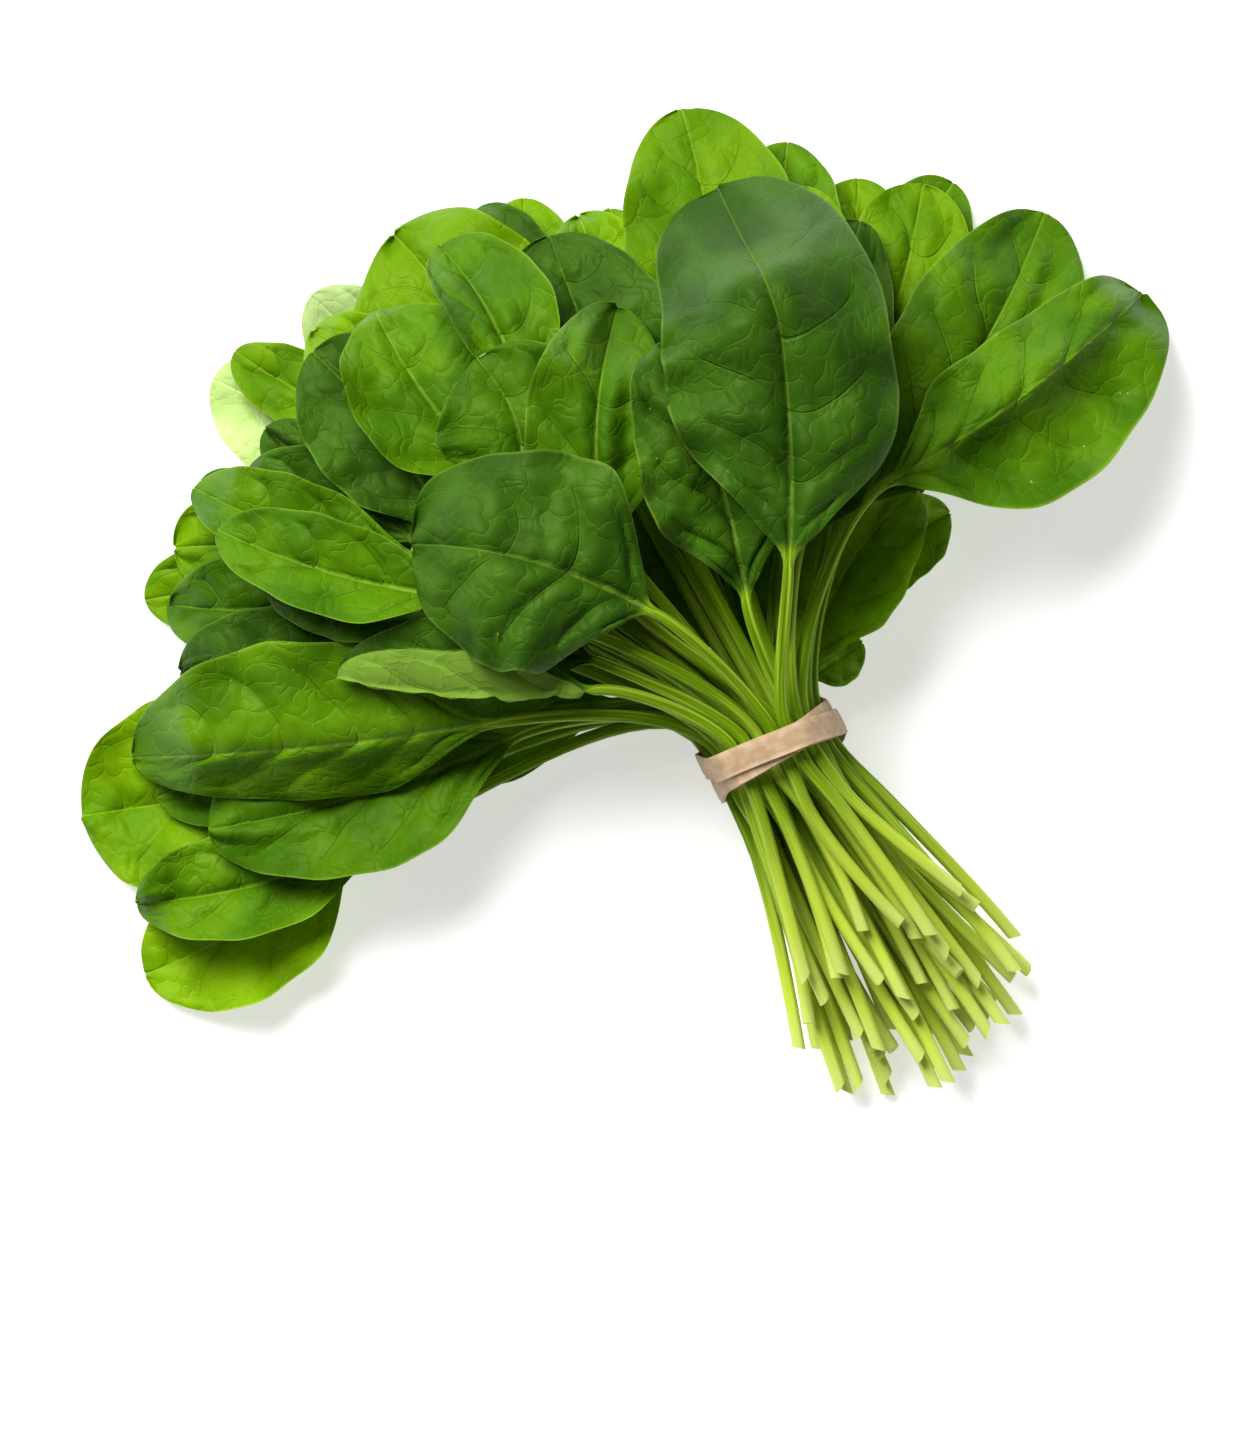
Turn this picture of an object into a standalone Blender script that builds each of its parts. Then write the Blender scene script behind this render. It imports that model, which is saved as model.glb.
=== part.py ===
"""Spinach bunch lying on a table: 56 leaves on their stalks, held at the neck by a rubber band.

Each leaf and its stalk is one closed solid, lofted from the round stalk to the thin blade.
The stalks are packed six-sided in the neck. The leaves are laid one after another, from the
lowest row of the neck to the highest, and each one is lifted clear of the ones below it.
The band is one closed strip that goes round the neck twice and crosses itself on top.
Lengths in the tables are millimetres; the meshes are metres. +Z is up, z = 0 is the table.
"""
import math
from dataclasses import dataclass

import bpy
import numpy as np

MM = 0.001

# Neck: where the band sits, how it points, and how the stalks are packed in it.
NECK_CENTRE = (37.6, -37.5)
NECK_AXIS = (-0.445, 0.8955)
STALK_RADIUS = 1.62
STALK_PITCH = 3.6
STALK_GAP = 0.33
ROW_COUNTS = (5, 6, 7, 8, 9, 8, 7, 6)
NECK_HALF_LENGTH = 4.0
NECK_FLOOR = 3.4

# Heap: how far a leaf's own shape lifts it before it is laid on the others.
ROW_RISE = 4.2
HEAP_CENTRE = (-2.0, 18.0)
HEAP_SPREAD = 92.0
BLADE_GAP = 0.9
CELL = 1.5
MAP_HALF = 180.0

# Tail: the stalks below the band.
TAIL_SPREAD = 2.15
TAIL_SHIFT = 4.0
TAIL_LONG = 88.0
TAIL_SHORT = 56.0

# Leaf section.
BLADE_THICK = 0.8
MIDRIB_THICK = 1.35
BLADE_EASE = 1.05

# Band.
BAND_WIDTH = 6.8
BAND_THICK = 0.85
BAND_SIDES = 32
BAND_CLEARANCE = 0.35
BAND_BACK_OFFSET = 3.75
BAND_FRONT_OFFSET = 2.4

TONES = {
    "leaf_dark": (0.035, 0.110, 0.018),
    "leaf_mid": (0.070, 0.180, 0.022),
    "leaf_bright": (0.190, 0.370, 0.030),
    "leaf_pale": (0.360, 0.540, 0.130),
}


@dataclass(frozen=True)
class Leaf:
    """One leaf: its row in the neck, where its blade starts and ends, and how the blade bends.

    left and right are (fold, curl) in degrees, seen along the leaf's growth: the blade's slope
    at the midrib, and what it gains by the margin. A positive slope rises towards the margin.
    hook turns the tip aside, arch makes a peak on the midrib, and blunt under 1 rounds the end.
    stiff is the share of the blade's width that the heap can't bend: at 1 it keeps its own shape.
    """

    name: str
    row: int
    base: tuple
    tip: tuple
    width: float
    tone: str = "leaf_mid"
    left: tuple = (8, 14)
    right: tuple = (8, 14)
    roll: float = 0.0
    bow: float = 0.0
    lift: float = 0.0
    droop: float = 4.0
    hook: float = 0.0
    arch: float = 0.0
    blunt: float = 1.0
    stiff: float = 0.5


D, M, B, P = "leaf_dark", "leaf_mid", "leaf_bright", "leaf_pale"

LEAVES = (
    Leaf("under_leaf_1", 0, (-12, -28), (-83, -43), 42, M, (2, 8), (2, 8)),
    Leaf("under_leaf_2", 0, (4, -20), (-90, 0), 50, M, (2, 8), (2, 8), bow=4),
    Leaf("under_leaf_3", 0, (20, -20), (-48, 50), 54, D, (2, 8), (2, 8), bow=-4),
    Leaf("under_leaf_4", 0, (33, -22), (2, 68), 54, M, (2, 8), (2, 8), bow=3),
    Leaf("under_leaf_5", 0, (44, 10), (77, 67), 42, M, (2, 8), (2, 8), bow=-3),
    Leaf("left_leaf_low_2", 1, (-68, -62), (-121, -95), 38, B, (12, 20), (4, 10), bow=-3),
    Leaf("left_leaf_low_3", 1, (-73, -2), (-121, 0), 26, B, (20, 20), (12, 20), bow=3),
    Leaf("back_leaf_left_9", 1, (-51, 44), (-79, 77), 26, P, (6, 10), (12, 20), bow=2),
    Leaf("back_leaf_mid_5", 1, (-16, 67), (-25, 102), 24, B, (12, 16), (12, 16), bow=-2),
    Leaf("back_leaf_right_6", 1, (52, 67), (60, 107), 25, B, (10, 16), (10, 16), bow=2),
    Leaf("right_leaf_low_2", 1, (57, 0), (83, 22), 22, B, (20, 20), (6, 10), bow=-3),
    Leaf("left_leaf_low_1", 2, (-70, -50), (-137, -55), 51, B, (2, 5), (4, 7), bow=2),
    Leaf("left_leaf_edge_4", 2, (-63, 10), (-107, 30), 24, M, (13, 12), (8, 12), bow=-2),
    Leaf("left_leaf_edge_6", 2, (-60, 24), (-104, 56), 30, P, (2, 7), (6, 8), bow=3),
    Leaf("back_leaf_mid_4", 2, (-18, 67), (-38, 98), 22, D, (11, 12), (8, 10), bow=2),
    Leaf("back_leaf_right_4", 2, (60, 50), (84, 106), 30, M, (7, 8), (6, 8), roll=3, bow=-3),
    Leaf("right_leaf_low_3", 2, (46, -20), (61, -11), 13, B, (4, 8), (4, 8)),
    Leaf("back_leaf_mid_2", 2, (10, 54), (4, 96), 27, M, (4, 8), (4, 8), bow=2),
    Leaf("left_leaf_front_3", 3, (-59, -60), (-123, -77), 30, M, (26, 24), (7, 10), bow=-3),
    Leaf("left_leaf_edge_1", 3, (-70, 6), (-113, 13), 30, B, (6, 10), (8, 12), bow=3),
    Leaf("left_leaf_edge_7", 3, (-56, 42), (-98, 63), 20, B, (10, 14), (10, 14), bow=-2),
    Leaf("back_leaf_left_6", 3, (-28, 40), (-58, 93), 50, B, (3, 6), (3, 7), bow=4),
    Leaf("back_leaf_mid_1", 3, (2, 67), (-3, 99), 18, B, (9, 12), (9, 12)),
    Leaf("back_leaf_right_1", 3, (44, 67), (42, 116), 28, M, (9, 11), (6, 8), bow=-2),
    Leaf("back_leaf_right_5", 3, (60, 50), (76, 105), 34, B, (4, 7), (6, 10), bow=2),
    Leaf("right_leaf_front_1", 3, (46, -20), (74, 28), 33, B, (4, 8), (10, 14), bow=-5),
    Leaf("left_leaf_front_4", 4, (-76, -43), (-118, -50), 24, M, (8, 12), (8, 12), bow=2),
    Leaf("left_leaf_front_2", 4, (-25, -34), (-104, -58), 38, D, (8, 14), (4, 7), bow=-1),
    Leaf("left_leaf_edge_2", 4, (-68, 2), (-115, -1), 26, M, (12, 14), (6, 8), bow=-3),
    Leaf("back_leaf_left_8", 4, (-50, 42), (-78, 68), 25, B, (7, 8), (6, 7), bow=2),
    Leaf("left_leaf_edge_5", 4, (-56, 24), (-90, 43), 20, D, (12, 13), (8, 11), bow=-2),
    Leaf("back_leaf_mid_3", 4, (-3, 57), (-11, 97), 26, B, (8, 10), (7, 8), bow=2),
    Leaf("back_leaf_right_3", 4, (44, 44), (44, 104), 30, B, (6, 8), (8, 10), bow=2),
    Leaf("right_leaf_mid_2", 4, (52, 24), (60, 95), 28, D, (7, 10), (4, 8), bow=-3),
    Leaf("right_leaf_mid_3", 4, (60, 23), (97, 74), 26, D, (10, 12), (4, 6), bow=3),
    Leaf("left_leaf_mid_3", 5, (-50, -10), (-112, -18), 32, D, (20, 26), (8, 11), bow=-3),
    Leaf("left_leaf_front_1", 5, (-30, -31), (-124, -40), 51, M, (-48, 10), (8, 4), bow=-2, stiff=0.9),
    Leaf("left_leaf_mid_5", 5, (-50, 14), (-95, 31), 24, D, (9, 12), (6, 8), bow=2),
    Leaf("back_leaf_left_7", 5, (-42, 14), (-78, 62), 36, D, (7, 11), (4, 7), bow=3),
    Leaf("back_leaf_left_5", 5, (-28, 28), (-62, 72), 42, M, (8, 56), (4, 7), bow=-3),
    Leaf("crown_leaf_back", 5, (22, 48), (15, 124), 43, B, (2, 6), (4, 7), bow=4),
    Leaf("back_leaf_left_2", 5, (2, 42), (-18, 91), 40, D, (6, 8), (4, 7), bow=-1),
    Leaf("right_leaf_back_2", 5, (58, 22), (107, 98), 42, M, (6, 7), (6, 8), bow=5),
    Leaf("left_leaf_mid_4", 6, (-43, -6), (-90, 4), 24, D, (10, 13), (7, 11), bow=2),
    Leaf("left_leaf_mid_2", 6, (-50, 10), (-108, 28), 26, M, (34, 20), (12, 12), bow=-3, stiff=0.8),
    Leaf("back_leaf_left_4", 6, (-24, 47), (-46, 89), 32, M, (40, 30), (8, 10), bow=3),
    Leaf("left_leaf_top_2", 6, (-27, 20), (-36, 59), 40, M, (3, 7), (4, 10), bow=6),
    Leaf("crown_leaf_left_2", 6, (-4, 8), (-1, 73), 33, M, (4, 7), (6, 8), bow=-4),
    Leaf("crown_leaf_left_1", 6, (31, -2), (10, 63), 36, D, (4, 8), (8, 11), bow=3),
    Leaf("right_leaf_top", 6, (65, 28), (132, 77), 54, M, (-24, 8), (-36, 60), roll=3, bow=3, droop=10,
         blunt=0.85, stiff=1.0),
    Leaf("left_leaf_small", 7, (-6, -16), (-38, -10), 20, D, (6, 8), (6, 8), bow=2),
    Leaf("right_leaf_mid_1", 7, (44, 12), (62, 52), 24, D, (4, 8), (8, 11), bow=-2),
    Leaf("left_leaf_mid_1", 7, (-38, 0), (-101, 17), 26, M, (26, 22), (10, 11), bow=-3, stiff=0.8),
    Leaf("left_leaf_folded", 7, (-6, -23), (-71, -20), 32, D, (112, 26), (5, 8), bow=-3, stiff=1.0),
    Leaf("crown_leaf_left", 7, (8, -4), (-52, 13), 55, D, (4, -22), (2, -24), bow=4, lift=7,
         arch=3, blunt=0.8, stiff=0.9),
    Leaf("crown_leaf_right", 7, (40, 10), (31, 104), 57, D, (4, -13), (3, -14), bow=4, lift=4,
         hook=-5, arch=6, blunt=0.75, stiff=0.9),
)


@dataclass(frozen=True)
class Detail:
    """How finely a leaf is cut: stations along its stalk and blade, and points across the blade."""

    tail: int = 3
    stalk: int = 4
    blade: int = 8
    across: int = 5


COARSE = Detail()


def smooth_step(low, high, value):
    """Ease from 0 at low to 1 at high."""
    part = np.clip((value - low) / (high - low), 0.0, 1.0)
    return part * part * (3.0 - 2.0 * part)


def jitter(index, salt):
    """A repeatable number between -1 and 1."""
    return 2.0 * math.modf((index + 1) * 0.61803 + salt * 0.3719)[0] - 1.0


def hermite(start, end, start_slope, end_slope, count):
    """Points of a cubic from start to end, both included."""
    t = np.linspace(0.0, 1.0, count)[:, None]
    blend_start = 2 * t**3 - 3 * t**2 + 1
    blend_end = 3 * t**2 - 2 * t**3
    ease_out = t**3 - 2 * t**2 + t
    ease_in = t**3 - t**2
    return blend_start * start + ease_out * start_slope + blend_end * end + ease_in * end_slope


def neck_directions():
    """The neck's axis towards the leaves and its sideways direction to the right, level."""
    axis = np.array(NECK_AXIS) / np.linalg.norm(NECK_AXIS)
    return axis, np.array((axis[1], -axis[0]))


def fan_angle(leaf):
    """How far to the right of the neck's axis the leaf's blade starts."""
    axis, side = neck_directions()
    middle = 0.75 * np.array(leaf.base) + 0.25 * np.array(leaf.tip)
    way = middle - np.array(NECK_CENTRE)
    return math.atan2(way @ side, way @ axis)


def neck_slots():
    """For each leaf, its stalk's sideways place and height inside the band."""
    slots = {}
    for row, count in enumerate(ROW_COUNTS):
        members = sorted((leaf for leaf in LEAVES if leaf.row == row), key=fan_angle)
        height = NECK_FLOOR + row * STALK_PITCH * math.sqrt(0.75)
        for column, leaf in enumerate(members):
            slots[leaf.name] = ((column - (count - 1) / 2) * STALK_PITCH, height)
    return slots


def dome(point):
    """How much of the heap's height is reached over a point of the table."""
    offset = (np.asarray(point) - np.array(HEAP_CENTRE)) / HEAP_SPREAD
    return math.exp(-float(offset @ offset))


def free_height(leaf, point):
    """The height that a leaf keeps over a point by its own stiffness."""
    return 1.5 + 1.2 * leaf.row + ROW_RISE * leaf.row * dome(point) + leaf.lift


def tail_points(leaf, index, slot, count):
    """Centre line from the cut end to the neck, as rows of x, y, z, without the neck itself."""
    axis, side = neck_directions()
    centre = np.array(NECK_CENTRE)
    across, height = slot
    reach = TAIL_LONG - (TAIL_LONG - TAIL_SHORT) * max(0.0, leaf.row - 4) / 3
    reach *= 1.0 - 0.07 * abs(across) / 10 + 0.055 * jitter(index, 1)
    end_across = TAIL_SHIFT + TAIL_SPREAD * across + 2.5 * jitter(index, 2)
    end = centre - axis * reach + side * end_across
    start = centre - axis * NECK_HALF_LENGTH + side * across
    away = (end - start) / np.linalg.norm(end - start)
    plan = hermite(start, end, -axis * 0.5 * reach, away * 0.7 * reach, count + 1)[1:]
    end_height = 2.1 + 0.42 * (height - NECK_FLOOR)
    share = np.linspace(0.0, 1.0, count + 1)[1:]
    z = height + (end_height - height) * smooth_step(0.0, 1.15, share)
    return np.column_stack((plan, z))[::-1]


def neck_points(slot):
    """The straight stretch of a stalk inside the band."""
    axis, side = neck_directions()
    across, height = slot
    middle = np.array(NECK_CENTRE) + side * across
    return np.array([[*(middle + axis * s), height] for s in (-NECK_HALF_LENGTH, NECK_HALF_LENGTH)])


def key_heights(leaf, slot, lengths):
    """Heights along the leaf, eased through the neck, blade base, blade middle and tip."""
    base = free_height(leaf, leaf.base)
    middle = free_height(leaf, 0.5 * (np.array(leaf.base) + np.array(leaf.tip)))
    tip = free_height(leaf, leaf.tip) - leaf.droop
    keys = np.array([slot[1], max(base, 0.55 * slot[1]), middle, tip])
    return keys, np.array(lengths)


def spline_through(keys, places, samples):
    """Cubic through keys at places, level at the first, read at samples."""
    slopes = np.gradient(keys, places)
    slopes[0] = 0.0
    span = np.clip(np.searchsorted(places, samples, side="right") - 1, 0, len(places) - 2)
    width = places[span + 1] - places[span]
    t = (samples - places[span]) / width
    first = keys[span] * (2 * t**3 - 3 * t**2 + 1) + slopes[span] * width * (t**3 - 2 * t**2 + t)
    last = keys[span + 1] * (3 * t**2 - 2 * t**3) + slopes[span + 1] * width * (t**3 - t**2)
    return first + last


def fore_points(leaf, slot, detail):
    """Centre line above the neck: the stalk to the blade's base, then the blade to its tip."""
    axis, side = neck_directions()
    start = np.array(NECK_CENTRE) + side * slot[0] + axis * NECK_HALF_LENGTH
    base, tip = np.array(leaf.base, float), np.array(leaf.tip, float)
    run = np.linalg.norm(base - start)
    onward = (tip - base) / np.linalg.norm(tip - base)
    sideways = np.array((onward[1], -onward[0]))
    base_way = onward + 3.0 * sideways * leaf.bow / np.linalg.norm(tip - base)
    sweep = 0.55 + 0.42 * float(smooth_step(0.7, 1.3, -fan_angle(leaf)))
    stalk = hermite(start, base, axis * sweep * run, base_way * 0.7 * run, detail.stalk + 1)[1:]
    u = blade_places(detail)[:, None]
    aside = leaf.bow * 4.0 * u * (1.0 - u) + leaf.hook * smooth_step(0.55, 1.05, u)
    blade = base + (tip - base) * u + sideways * aside
    plan = np.vstack((stalk, blade))
    steps = np.linalg.norm(np.diff(np.vstack((start, plan)), axis=0), axis=1)
    along = np.cumsum(steps)
    total = along[detail.stalk - 1]
    keys, places = key_heights(leaf, slot, (0.0, total, 0.5 * (total + along[-1]), along[-1]))
    return np.column_stack((plan, spline_through(keys, places, along)))


def blade_places(detail):
    """Where the blade's stations lie from base to tip, closer together towards the tip."""
    even = np.linspace(0.0, 1.0, detail.blade + 1)[1:]
    return 0.45 * even + 0.55 * np.sin(0.5 * math.pi * even)


def stalk_radius(count_tail, detail):
    """Radius at each station of the stalk and along the midrib."""
    tail = np.linspace(1.22, 1.04, count_tail) * STALK_RADIUS
    neck = np.full(2, STALK_RADIUS)
    stalk = np.linspace(1.08, 0.84, detail.stalk) * STALK_RADIUS
    blade = STALK_RADIUS * 0.84 * (1.0 - 0.75 * blade_places(detail))
    return np.concatenate((tail, neck, stalk, blade))


def half_width(u, leaf):
    """Half width of a spoon-shaped blade at u from base to tip."""
    body = np.sin(math.pi * np.clip(u, 0.0, 1.0) ** 1.06) ** (0.42 * leaf.blunt)
    shoulder = 0.26 + 0.74 * smooth_step(0.0, 0.36, u)
    return 0.5 * BLADE_EASE * leaf.width * body * shoulder


def peak(leaf, u, v):
    """Height of the peak that the midrib makes above the middle of the blade."""
    return leaf.arch * np.exp(-(((u - 0.66) / 0.16) ** 2) - (v / 0.6) ** 2)


def frames(points, roll):
    """Side and up vectors at each station, square to the centre line, turned by roll."""
    ways = np.gradient(points, axis=0)
    ways /= np.linalg.norm(ways, axis=1)[:, None]
    sides = np.cross(ways, (0.0, 0.0, 1.0))
    sides /= np.linalg.norm(sides, axis=1)[:, None]
    ups = np.cross(sides, ways)
    cos, sin = np.cos(roll)[:, None], np.sin(roll)[:, None]
    return sides * cos + ups * sin, ups * cos - sides * sin


def blade_profile(leaf, across):
    """Unit cross-section of the blade: how far sideways and up each point across it lies."""
    places = np.linspace(-1.0, 1.0, across)
    fine = np.linspace(0.0, 1.0, 41)
    result = np.zeros((across, 3))
    for column, v in enumerate(places):
        fold, curl = leaf.right if v >= 0 else leaf.left
        slope = np.radians(fold + curl * fine)
        reach = np.searchsorted(fine, abs(v) - 1e-9)
        out = np.cos(slope[: reach + 1]).mean() * abs(v)
        rise = np.sin(slope[: reach + 1]).mean() * abs(v)
        result[column] = (out * np.sign(v), rise, v)
    return result


def ring_order(across):
    """For each point of a ring, its column: over the top from the left margin, and back below."""
    return np.concatenate((np.arange(across), np.arange(across - 2, 0, -1)))


def stalk_rings(middles, sides, ups, radii):
    """Round rings with their first point at the left, going over the top."""
    order = ring_order(middles.shape[1])
    angle = math.pi - 2.0 * math.pi * np.arange(len(order)) / len(order)
    out = radii[:, None, None] * np.cos(angle)[:, None]
    rise = radii[:, None, None] * np.sin(angle)[:, None]
    return middles[:, order] + out * sides[:, None] + rise * ups[:, None]


def blade_rings(middles, radii):
    """Thin rings either side of the blade's middle surface, square to it."""
    across = middles.shape[1]
    normals = np.cross(np.gradient(middles, axis=1), np.gradient(middles, axis=0))
    normals /= np.linalg.norm(normals, axis=2)[..., None]
    thick = np.full((len(middles), across), BLADE_THICK / 2)
    thick[:, (0, -1)] = 0.0
    thick[:, across // 2] = np.maximum(0.6 * radii * MIDRIB_THICK, BLADE_THICK / 2)
    offset = normals * thick[..., None]
    return np.concatenate((middles + offset, (middles - offset)[:, -2:0:-1]), axis=1)


class Shape:
    """A leaf's middle surface and rings, before and after it is laid on the heap."""

    def __init__(self, leaf, index, slot, detail):
        tail = tail_points(leaf, index, slot, detail.tail)
        fore = fore_points(leaf, slot, detail)
        self.leaf = leaf
        self.spine = np.vstack((tail, neck_points(slot), fore))
        self.radius = stalk_radius(detail.tail, detail)
        self.first_blade = detail.tail + 2 + detail.stalk
        self.neck = detail.tail
        self.u = np.concatenate((np.zeros(self.first_blade), blade_places(detail)))
        roll = np.radians(leaf.roll) * smooth_step(0.0, 0.4, self.u)
        self.sides, self.ups = frames(self.spine, roll)
        self.middles = self.make_middles(detail)
        self.rings = self.make_rings()

    def make_middles(self, detail):
        """The blade's middle surface. On the stalk every column lies on the centre line."""
        profile = blade_profile(self.leaf, detail.across)
        widths = np.maximum(half_width(self.u, self.leaf), 0.9 * self.radius)
        widths[-1] = max(1.4, 0.11 * self.leaf.width)
        widths[: self.first_blade] = 0.0
        out = widths[:, None] * profile[:, 0]
        rise = widths[:, None] * profile[:, 1] * smooth_step(0.0, 0.35, self.u)[:, None]
        rise = rise + peak(self.leaf, self.u[:, None], profile[None, :, 2])
        offset = out[..., None] * self.sides[:, None] + rise[..., None] * self.ups[:, None]
        return self.spine[:, None] + offset

    def make_rings(self):
        """Loft sections from the cut end to the tip."""
        first = self.first_blade
        stalk = stalk_rings(self.middles[:first], self.sides[:first], self.ups[:first], self.radius[:first])
        return np.concatenate((stalk, blade_rings(self.middles[first:], self.radius[first:])))

    def raise_by(self, lifts):
        """Lift every column of every station and make the rings again."""
        self.middles[:, :, 2] += lifts
        self.spine[:, 2] += lifts.mean(axis=1)
        self.rings = self.make_rings()


def patch_samples(rings, first, last):
    """Points spread over the skin between two stations, with the ring points each lies among."""
    rows = []
    count = rings.shape[1]
    for i in range(first, last):
        for k in range(count):
            following = (k + 1) % count
            corners = rings[[i, i, i + 1, i + 1], [k, following, k, following]]
            long_side = np.abs(corners[2:] - corners[:2]).max()
            wide_side = np.abs(corners[[1, 3]] - corners[[0, 2]]).max()
            n = max(2, int(long_side / 0.8) + 2)
            m = max(2, int(wide_side / 0.8) + 2)
            s, t = np.meshgrid(np.linspace(0, 1, n), np.linspace(0, 1, m), indexing="ij")
            s, t = s.ravel()[:, None], t.ravel()[:, None]
            points = (1 - s) * ((1 - t) * corners[0] + t * corners[1])
            points = points + s * ((1 - t) * corners[2] + t * corners[3])
            owner = np.full((len(points), 1), i * count + k)
            rows.append(np.hstack((points, owner)))
    return np.vstack(rows)


class Heap:
    """What lies on the table so far: a height map of blades, one of everything, and the stalks."""

    def __init__(self):
        size = int(2 * MAP_HALF / CELL)
        self.blades = np.full((size, size), -1.0e3)
        self.everything = np.zeros((size, size))
        self.stalks = np.zeros((0, 4))

    def cells(self, points):
        """The map cells under points."""
        index = ((points[:, :2] + MAP_HALF) / CELL).astype(int)
        return index[:, 0], index[:, 1]

    def need_from(self, heights, samples, shape, gap):
        """How far each column must rise for the samples around it to clear a height map."""
        count = shape.rings.shape[1]
        need = np.full(shape.middles.shape[:2], -1.0e3)
        columns = ring_order(shape.middles.shape[1])
        wanted = heights[self.cells(samples)] + gap - samples[:, 2]
        owner = samples[:, 3].astype(int)
        station, place = owner // count, owner % count
        following = (place + 1) % count
        for down in (0, 1):
            for around in (place, following):
                np.maximum.at(need, (station + down, columns[around]), wanted)
        return need

    def need_from_stalks(self, shape):
        """How far each station of a stalk must rise to clear the stalks below it."""
        need = np.full(len(shape.spine), -1.0e3)
        if not len(self.stalks):
            return need
        for i in range(shape.first_blade):
            dense = dense_line(shape, i)
            apart = np.hypot(
                dense[:, None, 0] - self.stalks[None, :, 0],
                dense[:, None, 1] - self.stalks[None, :, 1],
            )
            reach = dense[:, None, 3] + self.stalks[None, :, 3] + STALK_GAP
            over = self.stalks[None, :, 2] + np.sqrt(np.maximum(reach**2 - apart**2, 0.0))
            wanted = np.where(apart < reach, over - dense[:, None, 2], -1.0e3).max()
            need[i] = max(need[i], wanted)
            need[i + 1] = max(need[i + 1], wanted)
        return need

    def lay(self, shape):
        """Lift a leaf clear of the heap, settle it once more as it then lies, and add it."""
        for _ in range(2):
            shape.raise_by(settle(self.need(shape), shape))
        self.add(shape)

    def need(self, shape):
        """How far each column must rise to clear the table and everything on it."""
        last = len(shape.spine) - 1
        stalk = patch_samples(shape.rings, 0, shape.first_blade)
        blade = patch_samples(shape.rings, shape.first_blade, last)
        need = self.need_from(self.blades, stalk, shape, BLADE_GAP)
        need = np.maximum(need, self.need_from(self.everything, blade, shape, BLADE_GAP))
        need = np.maximum(need, floor_need(shape))
        return np.maximum(need, self.need_from_stalks(shape)[:, None])

    def add(self, shape):
        """Record a laid leaf in the maps and among the stalks."""
        last = len(shape.spine) - 1
        stalk = patch_samples(shape.rings, 0, shape.first_blade)
        blade = patch_samples(shape.rings, shape.first_blade, last)
        np.maximum.at(self.blades, self.cells(blade), blade[:, 2])
        for part in (stalk, blade):
            np.maximum.at(self.everything, self.cells(part), part[:, 2])
        lines = [dense_line(shape, i) for i in range(shape.first_blade)]
        self.stalks = np.vstack([self.stalks, *lines])


def floor_need(shape):
    """How far each column lies below the table."""
    need = np.full(shape.middles.shape[:2], -1.0e3)
    for place, column in enumerate(ring_order(need.shape[1])):
        need[:, column] = np.maximum(need[:, column], -shape.rings[:, place, 2])
    return need


def dense_line(shape, i):
    """Points with radius close together along one stretch of a stalk."""
    ends = np.column_stack((shape.spine[i : i + 2], shape.radius[i : i + 2]))
    count = max(2, int(np.linalg.norm(ends[1, :3] - ends[0, :3]) / 1.2) + 1)
    t = np.linspace(0.0, 1.0, count)[:, None]
    return ends[0] * (1 - t) + ends[1] * t


def taut(places, values):
    """The lowest chain over values that never sags between its supports."""
    result = values.copy()
    corner = 0
    while corner < len(values) - 1:
        rest = places[corner + 1 :] - places[corner]
        slopes = (values[corner + 1 :] - values[corner]) / rest
        step = int(np.argmax(slopes)) + 1
        t = rest[:step] / rest[step - 1]
        ahead = corner + step
        result[corner + 1 : ahead + 1] = values[corner] + t * (values[ahead] - values[corner])
        corner += step
    return result


def soften(values, reach, axis):
    """Widen the highs by reach places and average them, so no value drops below where it was."""
    for _ in range(reach):
        values = spread(values, axis, np.maximum)
    for _ in range(reach):
        before, after = shifted(values, axis)
        values = (before + values + after) / 3.0
    return values


def shifted(values, axis):
    """The values one place before and one after, held at the ends."""
    first = np.take(values, [0], axis)
    last = np.take(values, [-1], axis)
    inner_low = np.take(values, range(values.shape[axis] - 1), axis)
    inner_high = np.take(values, range(1, values.shape[axis]), axis)
    return np.concatenate((first, inner_low), axis), np.concatenate((inner_high, last), axis)


def spread(values, axis, pick):
    """Each value or its larger neighbour."""
    before, after = shifted(values, axis)
    return pick(pick(before, values), after)


def settle(need, shape):
    """Smooth lifts that meet every need: a taut line along the leaf, and soft bumps across it."""
    along = np.concatenate(([0.0], np.cumsum(np.linalg.norm(np.diff(shape.spine, axis=0), axis=1))))
    wanted = np.maximum(need, 0.0)
    level = np.quantile(wanted, shape.leaf.stiff, axis=1)
    stiff = np.where(np.arange(len(along)) < shape.first_blade, wanted.max(axis=1), level)
    middle = shape.neck
    fore = taut(along[middle:], stiff[middle:])
    tail = taut(along[middle + 1] - along[middle + 1 :: -1], stiff[middle + 1 :: -1])[::-1]
    line = np.concatenate((tail[:-1], fore[1:])) if middle else fore
    line = np.maximum(line, stiff)
    extra = np.maximum(wanted - line[:, None], 0.0)
    spacing = np.diff(along[shape.first_blade :]).mean()
    extra = soften(extra, max(1, int(round(9.0 / spacing))), 0)
    return line[:, None] + extra


def lay_bunch(detail):
    """All leaves, laid from the lowest row of the neck to the highest."""
    slots = neck_slots()
    heap = Heap()
    shapes = []
    for index, leaf in enumerate(LEAVES):
        shape = Shape(leaf, index, slots[leaf.name], detail)
        heap.lay(shape)
        shapes.append(shape)
    return shapes


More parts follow.
